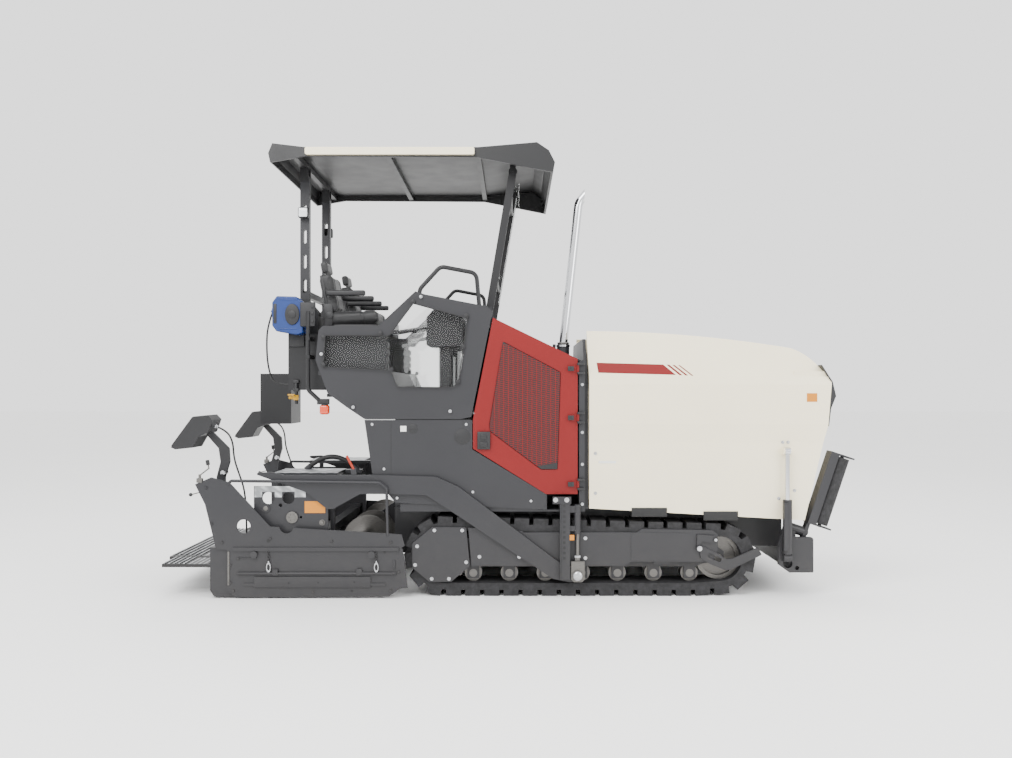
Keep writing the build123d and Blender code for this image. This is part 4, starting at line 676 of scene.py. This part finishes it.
def make_panel_fittings(side):
    """Filler ports, bolts, seams, black hinge covers and bare plates on the tractor's side."""
    face = PANEL_SIDE
    ports = bmesh.new()
    # nothing stands more than 4 mm proud of these panels, because the tow arms pass them
    add_disc(ports, (-0.330, -face, 1.208), (0, 1, 0), 0.062, 0.004, chamfer=0.001, sides=40)
    add_disc(ports, (-0.330, -face - 0.0015, 1.208), (0, 1, 0), 0.044, 0.004, chamfer=0.001, sides=32)
    add_disc(ports, (-0.701, -face, 1.268), (0, 1, 0), 0.036, 0.004, chamfer=0.001, sides=32)
    add_block(ports, (-0.730, -face - 0.0038, 1.262), (-0.672, -face - 0.001, 1.274), bevel=0.001)
    side_piece(ports, "filler_ports", abs_black, "machine", side)
    bolts = bmesh.new()
    for x, z in ((-0.920, 0.963), (-0.822, 0.744), (0.189, 0.722), (-1.010, 1.300), (-0.300, 1.300),
                 (-0.600, 0.790), (-0.250, 0.790)):
        add_disc(bolts, (x, -face - 0.001, z), (0, 1, 0), 0.0105, 0.004, chamfer=0.001, sides=20)
        add_disc(bolts, (x, -face - 0.0018, z), (0, 1, 0), 0.0070, 0.004, chamfer=0.0005, sides=6)
    add_side_bolts(bolts, LUG_SIDE, 0.017, (
        (-1.390, 1.830), (-0.640, 2.262), (-1.150, 1.430), (-0.420, 1.400),
    ))
    add_side_bolts(bolts, LUG_SIDE, 0.015, [(0.575, z) for z in (0.700, 1.000, 1.240, 1.600)])
    side_piece(bolts, "panel_bolts", bright_steel, "machine", side)
    seams = bmesh.new()
    for x, low, high in ((-0.867, 0.760, 1.330), (-0.324, 1.160, 1.330)):
        add_block(seams, (x - 0.002, -face - 0.0008, low), (x + 0.002, -face + 0.001, high))
    add_block(seams, (-1.060, -face - 0.0008, 1.3365), (-0.270, -face + 0.002, 1.3395))
    side_piece(seams, "panel_seams", hose_rubber, "machine", side, smooth=False)
    labels = bmesh.new()
    add_block(labels, (-0.797, -face - 0.0012, 1.246), (-0.752, -face, 1.288), bevel=0.0004)
    side_piece(labels, "panel_plate", white_plate, "machine", side, smooth=False)
    hinges = bmesh.new()
    for z in HINGE_HEIGHTS:
        for shift in (-0.0345, 0.0345):
            add_block(hinges, (0.538, -LUG_SIDE - 0.019, z + shift - 0.009),
                      (0.592, -LUG_SIDE - 0.0005, z + shift + 0.009), bevel=0.003)
    side_piece(hinges, "door_hinge_covers", abs_black, "machine", side)


# ---- tow gear
def make_tow_fittings(side):
    """Scale holes drawn as black squares of painted shade, bolted flange of the guide, rod nuts, pin end,
    and the amber plate.
    """
    face = GUIDE_SIDE
    # painted shade: black squares stand for the dark inside of the scale holes
    holes = bmesh.new()
    for step in range(11):
        z = 0.300 + step * 0.039
        add_block(holes, (0.427, -face - 0.0008, z - 0.010), (0.447, -face + 0.001, z + 0.010))
    side_piece(holes, "guide_hole_shade", hose_rubber, "machine", side, smooth=False)
    strip = bmesh.new()
    add_block(strip, (0.405, -face - 0.010, 0.150), (0.412, -face, 0.700), bevel=0.001)
    add_block(strip, (0.350, -face - 0.004, 0.704), (0.490, -face + 0.012, 0.760), bevel=0.003)
    side_piece(strip, "guide_flange", charcoal, "machine", side)
    bolts = bmesh.new()
    add_side_bolts(bolts, face + 0.004, 0.024, ((0.372, 0.736), (0.456, 0.736)))
    side_piece(bolts, "guide_bolts", bright_steel, "machine", side)
    nuts = bmesh.new()
    add_disc(nuts, (0.538, -0.912, 0.309), (0, 0, 1), 0.024, 0.016, chamfer=0.002, sides=6)
    ball = bmesh.ops.create_uvsphere(nuts, u_segments=28, v_segments=14, radius=0.036)["verts"]
    bmesh.ops.scale(nuts, vec=(1, 0.45, 1), verts=ball)
    bmesh.ops.translate(nuts, vec=(0.538, -face - 0.010, 0.168), verts=ball)
    side_piece(nuts, "tow_pin_end", bright_steel, "tow_points", side)
    plate = bmesh.new()
    add_block(plate, (0.478, -0.9395, 0.434), (0.512, -0.925, 0.474), bevel=0.001)
    side_piece(plate, "tow_amber_plate", amber_plate, "machine", side, smooth=False)


# ---- tracks
def make_track_fittings(side):
    """Bolted covers: raised cover on the beam, drive-guard bolts and the guard bar's pins."""
    cover = bmesh.new()
    outline = [(0.945, 0.476), (1.000, 0.486), (1.380, 0.478), (1.420, 0.440), (1.350, 0.300),
               (1.300, 0.272), (0.945, 0.272)]
    prism(cover, outline, 0.877, 0.8815)
    side_piece(cover, "beam_cover_raised", charcoal, "machine", side, smooth=False)
    bolts = bmesh.new()
    add_side_bolts(bolts, GUARD_SIDE, 0.018, (
        (-0.670, 0.380), (-0.540, 0.500), (-0.330, 0.500), (-0.300, 0.260), (-0.430, 0.135),
        (-0.560, 0.135), (-0.685, 0.240),
    ))
    add_side_bolts(bolts, COVER_SIDE, 0.018, (
        (-0.20, 0.300), (0.10, 0.300), (0.10, 0.450), (1.52, 0.450), (0.60, 0.440), (0.60, 0.290),
    ))
    side_piece(bolts, "cover_bolts", bright_steel, "machine", side)
    pins = bmesh.new()
    for x, z, size in ((1.457, 0.366, 0.020), (1.578, 0.431, 0.012)):
        add_disc(pins, (x, -0.906, z), (0, 1, 0), size, 0.012, chamfer=0.003, sides=28)
    side_piece(pins, "guard_pins", bright_steel, "machine", side)


# ---- screed ends
def add_link(mesh, place, radius, wire, stretch, turn):
    """Chain link or snap hook: a ring of round wire, pulled long, hanging at a place."""
    link = bmesh.new()
    ring = bmesh.ops.create_circle(link, segments=8, radius=wire)["verts"]
    bmesh.ops.rotate(link, cent=(0, 0, 0), matrix=Matrix.Rotation(pi / 2, 3, "X"), verts=ring)
    bmesh.ops.translate(link, vec=(radius, 0, 0), verts=ring)
    bmesh.ops.spin(link, geom=list(link.verts) + list(link.edges), cent=(0, 0, 0), axis=(0, 0, 1),
                   angle=2 * pi, steps=16, use_merge=True)
    bmesh.ops.scale(link, vec=(1.0, stretch, 1.0), verts=link.verts)
    hanging = Matrix.Translation(place) @ Matrix.Rotation(turn, 4, "Z") @ Matrix.Rotation(pi / 2, 4, "X")
    bmesh.ops.transform(link, matrix=hanging, verts=link.verts)
    part = mesh_data(link, "link")
    mesh.from_mesh(part)
    bpy.data.meshes.remove(part)


def make_gate_fittings(side):
    """Chains with snap hooks, bars, strips, holes drawn as black discs of painted shade, bolts, a crank and
    a lever on the end gate.
    """
    sheet = GATE_SIDE
    body = f"extension_{side}"
    bolts = bmesh.new()
    add_side_bolts(bolts, sheet, 0.018, (
        (-2.240, 0.830), (-2.200, 0.560), (-2.120, 0.420), (-1.760, 0.450), (-1.300, 0.430),
        (-0.860, 0.420), (-2.000, 0.300), (-2.035, 0.060), (-1.440, 0.050), (-0.860, 0.060),
        (-0.800, 0.200), (-2.060, 0.250), (-2.060, 0.120),
    ))
    side_piece(bolts, "gate_bolts", cast_iron, body, side)
    chains = bmesh.new()
    for x, top in ((-1.776, 0.352), (-0.972, 0.352)):
        for number in range(4):
            add_link(chains, (x + 0.002 * number, -sheet - 0.012, top - 0.020 * number), 0.008, 0.0022, 1.5,
                     pi / 2 * (number % 2))
    side_piece(chains, "gate_chains", cast_iron, body, side)
    hooks = bmesh.new()
    for x in (-1.770, -0.966):
        add_link(hooks, (x, -sheet - 0.014, 0.236), 0.014, 0.004, 2.2, 0.0)
        add_disc(hooks, (x, -sheet - 0.014, 0.276), (0, 0, 1), 0.006, 0.016, chamfer=0.001, sides=12)
    side_piece(hooks, "gate_hooks", bright_steel, body, side)
    bar = bmesh.new()
    add_disc(bar, (-1.412, -sheet - 0.010, 0.190), (1, 0, 0), 0.010, 1.182, chamfer=0.002, sides=16)
    for rear, front, low, high, depth, bevel in (
        (-1.740, -1.700, 0.176, 0.222, 0.020, 0.003),
        (-1.114, -1.074, 0.176, 0.226, 0.020, 0.003),
        (-1.880, -1.008, 0.084, 0.166, 0.012, 0.004),
        (-0.840, -0.826, 0.222, 0.286, 0.010, 0.003),
        (-1.990, -1.860, 0.302, 0.308, 0.006, 0.001),
    ):
        add_block(bar, (rear, -sheet - depth, low), (front, -sheet, high), bevel=bevel)
    side_piece(bar, "gate_bars", charcoal, body, side)
    strip = bmesh.new()
    add_block(strip, (-2.079, -sheet - 0.007, 0.100), (-2.064, -sheet, 0.352), bevel=0.002)
    side_piece(strip, "gate_wear_strip", worn_steel, body, side)
    holes = bmesh.new()
    # black discs of painted shade stand for the holes; the first three lie on the raised bar
    for x, z, radius, raised in (
        (-1.620, 0.118, 0.007, 0.0125), (-1.400, 0.122, 0.007, 0.0125), (-1.130, 0.126, 0.007, 0.0125),
        (-1.150, 0.058, 0.010, 0.0006), (-1.775, 0.432, 0.014, 0.0006), (-0.905, 0.345, 0.009, 0.0006),
    ):
        add_disc(holes, (x, -sheet - raised, z), (0, 1, 0), radius, 0.0012, sides=20)
    side_piece(holes, "gate_hole_shade", hose_rubber, body, side, smooth=False)
    # crank with a tapered black grip, and a short lever with a ball, on the gate's rear corner
    crank_y = -0.942
    crank = bmesh.new()
    add_block(crank, (-2.312, crank_y - 0.016, 0.866), (-2.268, crank_y + 0.016, 0.900), bevel=0.004)
    for x, z, axis, radius, length, sides in (
        (-2.290, 0.908, (0, 0, 1), 0.010, 0.040, 12),
        (-2.258, 0.945, (0.79, 0, 0.61), 0.005, 0.092, 10),
        (-2.224, 0.984, (-0.2, 0, 1), 0.005, 0.034, 10),
        (-2.318, 0.786, (1, 0, 0.25), 0.0045, 0.080, 10),
    ):
        add_disc(crank, (x, crank_y, z), axis, radius, length, sides=sides)
    side_piece(crank, "gate_crank", worn_steel, body, side)
    grips = bmesh.new()
    add_disc(grips, (-2.231, crank_y, 1.016), (-0.2, 0, 1), 0.014, 0.040, chamfer=0.005, sides=16)
    ball = bmesh.ops.create_uvsphere(grips, u_segments=16, v_segments=10, radius=0.014)["verts"]
    bmesh.ops.translate(grips, vec=(-2.358, crank_y, 0.776), verts=ball)
    side_piece(grips, "gate_grips", abs_black, body, side)


def make_console_fittings(side):
    """Screen, key rows, bracket clamp and cable gland of the screed's console."""
    body = f"extension_{side}"
    tilt = Matrix.Rotation(radians(-53.8), 4, "Y")
    face = Vector((-2.435, -0.800, 1.244))
    outwards = Vector((-0.807, 0, 0.591))
    along = Vector((0.591, 0, 0.807))

    def slab(mesh, shift, across, length, width, thickness, bevel):
        middle = face + along * shift + Vector((0, across, 0)) + outwards * thickness / 2
        half = Vector((length, width, thickness)) / 2
        add_block(mesh, middle - half, middle + half, bevel=bevel, turn=tilt)

    bezel = bmesh.new()
    slab(bezel, 0.0, 0.0, 0.270, 0.206, 0.008, 0.003)
    side_piece(bezel, "console_bezel", charcoal, body, side)
    keys = bmesh.new()
    for row in range(3):
        for column in range(5):
            slab(keys, -0.110 + 0.028 * row, -0.068 + 0.034 * column, 0.016, 0.022, 0.0125, 0.002)
    side_piece(keys, "console_keys", white_plate, body, side)
    screen = bmesh.new()
    slab(screen, 0.052, 0.0, 0.110, 0.150, 0.0095, 0.0008)
    side_piece(screen, "console_screen", dark_cover, body, side)
    gland = bmesh.new()
    exit_point, lead = Vector((-2.2232, -0.800, 1.2854)), Vector((0.938, 0, -0.346))
    add_disc(gland, exit_point + lead * 0.006, lead, 0.015, 0.020, chamfer=0.002, sides=6)
    add_disc(gland, exit_point + lead * 0.022, lead, 0.011, 0.014, chamfer=0.002, sides=20)
    side_piece(gland, "console_gland", bright_steel, body, side)
    clamp = bmesh.new()
    add_disc(clamp, (-2.150, -0.800, 0.930), (0, 1, 0), 0.020, 0.092, chamfer=0.003, sides=6)
    side_piece(clamp, "console_clamp", bright_steel, body, side)


def make_arm_fittings(side):
    """Chequered strip, bare plate, dial, bolt and lever on the rear of the tow arm."""
    face = ARM_SIDE
    strip = bmesh.new()
    add_block(strip, (-1.895, -face - 0.002, 0.792), (-1.510, -face + 0.001, 0.834))
    for rear, front in ((-1.895, -1.838), (-1.742, -1.688), (-1.592, -1.510)):
        add_block(strip, (rear, -face - 0.002, 0.751), (front, -face + 0.001, 0.793))
    side_piece(strip, "chequered_strip", chequer, "screed", side, smooth=False)
    plate = bmesh.new()
    add_block(plate, (-1.517, -face - 0.003, 0.632), (-1.362, -face + 0.001, 0.721), bevel=0.001)
    side_piece(plate, "arm_amber_plate", amber_plate, "screed", side, smooth=False)
    dial = bmesh.new()
    dial_x, dial_z, spot_circle = -1.610, 0.600, 0.026
    add_disc(dial, (dial_x, -0.900, dial_z), (0, 1, 0), 0.044, 0.006, chamfer=0.002, sides=40)
    for spot in range(6):
        x = dial_x + spot_circle * cos(spot * pi / 3)
        z = dial_z + spot_circle * sin(spot * pi / 3)
        add_disc(dial, (x, -0.905, z), (0, 1, 0), 0.005, 0.008, sides=10)
    add_disc(dial, (-1.808, -0.901, 0.668), (0, 1, 0), 0.018, 0.008, chamfer=0.002, sides=24)
    add_side_bolts(dial, face, 0.030, [(-1.385, 0.560)])
    side_piece(dial, "arm_dial", worn_steel, "screed", side)
    foot = bmesh.new()
    add_block(foot, (-1.166, -0.911, 0.917), (-1.124, -0.893, 0.968), bevel=0.004)
    side_piece(foot, "lever_foot", charcoal, "screed", side)
    lever = bmesh.new()
    add_disc(lever, (-1.172, -0.902, 1.013), (-0.46, 0, 0.89), 0.010, 0.118, chamfer=0.004, sides=16)
    side_piece(lever, "orange_lever", orange, "screed", side)
    deck = bmesh.new()
    add_block(deck, (-1.770, -0.818, 0.9272), (-1.284, -0.432, 0.9300), bevel=0.0005)
    side_piece(deck, "upper_deck_sheet", chequer, "screed", side, smooth=False)


def make_walkway_fittings():
    """Serrated treads on the folding walkways."""
    for name, reach, rear, front in (("walkway_right", (-0.894, -0.626), -2.575, -2.275),
                                     ("middle_walkway", (-0.530, 0.530), -2.635, -2.295),
                                     ("walkway_left", (0.626, 0.894), -2.575, -2.275)):
        treads = bmesh.new()
        count = 9
        for row in range(count):
            x = rear + (front - rear) * row / (count - 1)
            # low near the hinge, where the folded walkway stands close to the screed
            top = 0.2560 if x < -2.40 else 0.2496
            add_block(treads, (x - 0.006, reach[0], 0.2480), (x + 0.006, reach[1], top), bevel=0.0005,
                      segments=1)
        finished(treads, f"treads_{name}", chequer, name, smooth=False)


# ---- roof
def make_roof_fittings():
    """Work lamps on the posts, and the clamp ring of the exhaust."""
    face = POST_SIDE
    lamps, glass = bmesh.new(), bmesh.new()
    for sign in (-1, 1):
        for mesh, low, high, bevel in (
            (lamps, (-1.658, face + 0.012, 2.928), (-1.574, face + 0.066, 3.014), 0.014),
            (glass, (-1.650, face + 0.060, 2.936), (-1.582, face + 0.071, 3.006), 0.006),
            (lamps, (-1.634, face - 0.004, 2.940), (-1.598, face + 0.020, 2.962), 0.003),
        ):
            add_block(mesh, (low[0], sign * low[1], low[2]), (high[0], sign * high[1], high[2]),
                      bevel=bevel, segments=3)
    finished(lamps, "rear_work_lamps", abs_black, "roof_posts")
    finished(glass, "rear_lamp_glass", lamp_lens, "roof_posts")
    ring = bmesh.new()
    add_disc(ring, (0.4560, -0.420, 1.9320), (0, 0, 1), 0.047, 0.020, chamfer=0.003, sides=40)
    add_disc(ring, (0.4560, -0.466, 1.9320), (1, 0, 0), 0.007, 0.050, sides=12)
    finished(ring, "exhaust_clamp", worn_steel, "exhaust")


# ---- behind the platform
def make_reel_fittings():
    """Black hub cover, cable slot, clamp and back plate of the hose reel, and the valve on the rear box."""
    black = bmesh.new()
    hub = add_disc(black, (0, 0, 0), (0, 1, 0), 0.056, 0.012, chamfer=0.004, sides=48)
    bmesh.ops.scale(black, vec=(1, 1, 1.45), verts=hub)
    bmesh.ops.translate(black, vec=(-1.642, -0.762, 2.140), verts=hub)
    add_disc(black, (-1.642, -0.770, 2.140), (0, 1, 0), 0.030, 0.008, chamfer=0.003, sides=32)
    add_block(black, (-1.788, -0.7585, 2.070), (-1.762, -0.752, 2.222), bevel=0.003)
    add_block(black, (-1.578, -0.782, 2.045), (-1.462, -0.752, 2.232), bevel=0.008, segments=3)
    for z in (2.085, 2.145, 2.195):
        add_disc(black, (-1.482, -0.784, z), (0, 1, 0), 0.010, 0.010, chamfer=0.002, sides=16)
    finished(black, "reel_hub_cover", abs_black, "machine")
    ribs = bmesh.new()
    for z in (2.030, 2.255):
        add_block(ribs, (-1.740, -0.760, z - 0.004), (-1.600, -0.750, z + 0.004), bevel=0.002)
    finished(ribs, "reel_ribs", blue, "machine")
    face = BOX_SIDE
    pipe = bmesh.new()
    add_disc(pipe, (-1.640, -face - 0.014, 1.545), (0, 0, 1), 0.014, 0.190, chamfer=0.003, sides=20)
    add_block(pipe, (-1.7015, -0.6385, 1.8985), (-1.5785, -0.6200, 2.0100), bevel=0.002)
    for z in (1.560, 1.625):
        add_block(pipe, (-1.662, -face - 0.030, z - 0.012), (-1.618, -face + 0.004, z + 0.012), bevel=0.004)
    finished(pipe, "rear_pipe", abs_black, "machine")
    valve = bmesh.new()
    add_disc(valve, (-1.640, -face - 0.016, 1.500), (0, 0, 1), 0.022, 0.040, chamfer=0.003, sides=6)
    add_disc(valve, (-1.672, -face - 0.016, 1.500), (1, 0, 0), 0.013, 0.050, chamfer=0.003, sides=20)
    add_block(valve, (-1.700, -face - 0.050, 1.516), (-1.645, -face - 0.040, 1.528), bevel=0.003)
    add_disc(valve, (-1.650, -face - 0.034, 1.514), (0, 1, 0.3), 0.005, 0.030, sides=10)
    finished(valve, "rear_valve", yellow, "machine")
    # hazard lamp under the rail behind the platform
    lamp_foot = bmesh.new()
    add_block(lamp_foot, (-1.446, -0.792, 1.448), (-1.352, -0.768, 1.492), bevel=0.004)
    add_disc(lamp_foot, (-1.388, -0.780, 1.446), (0, 0, 1), 0.026, 0.012, chamfer=0.003, sides=28)
    finished(lamp_foot, "hazard_lamp_foot", abs_black, "machine")
    dome = bmesh.new()
    add_block(dome, (-1.424, -0.812, 1.372), (-1.352, -0.748, 1.444), bevel=0.016, segments=4)
    finished(dome, "hazard_lamp_dome", amber_lens, "machine")


def make_cords():
    """The reel's washing hose, the heating hose on the screed, and the console cables."""
    reel = [(-1.8105, -0.696, 2.1574), (-1.848, -0.696, 2.054), (-1.856, -0.696, 1.900),
            (-1.860, -0.640, 1.740), (-1.830, -0.580, 1.600), (-1.7063, -0.580, 1.600)]
    piece = tube_curve(reel, 0.007, "reel_washing_hose", hose_rubber, "machine")
    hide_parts("reel_hose")
    heating = [(-1.560, -0.480, 0.955), (-1.390, -0.480, 1.100), (-1.220, -0.480, 0.955)]
    piece = tube_curve(heating, 0.019, "screed_heating_hose", hose_rubber, "screed")
    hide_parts("rear_hose")
    cable = [(-2.2232, -0.800, 1.2854), (-2.1388, -0.800, 1.2543), (-2.085, -0.800, 1.170),
             (-2.078, -0.800, 1.040), (-2.040, -0.800, 0.925), (-1.995, -0.800, 0.800),
             (-1.980, -0.800, 0.590), (-1.980, -0.800, 0.3803)]
    for side, sign in SIGNS.items():
        route = [(x, -sign * y, z) for x, y, z in cable]
        piece = tube_curve(route, 0.007, f"console_lead_{side}", hose_rubber, f"extension_{side}")
        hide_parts(f"console_cable_{side}")


# ---- calls
for side in SIGNS:
    for make in (make_door_grille, make_door_fittings, make_wing_trim, make_window_fittings,
                 make_panel_fittings, make_tow_fittings, make_track_fittings, make_gate_fittings,
                 make_console_fittings, make_arm_fittings):
        make(side)
make_cords()
make_walkway_fittings()
make_reel_fittings()
make_roof_fittings()
make_seats()
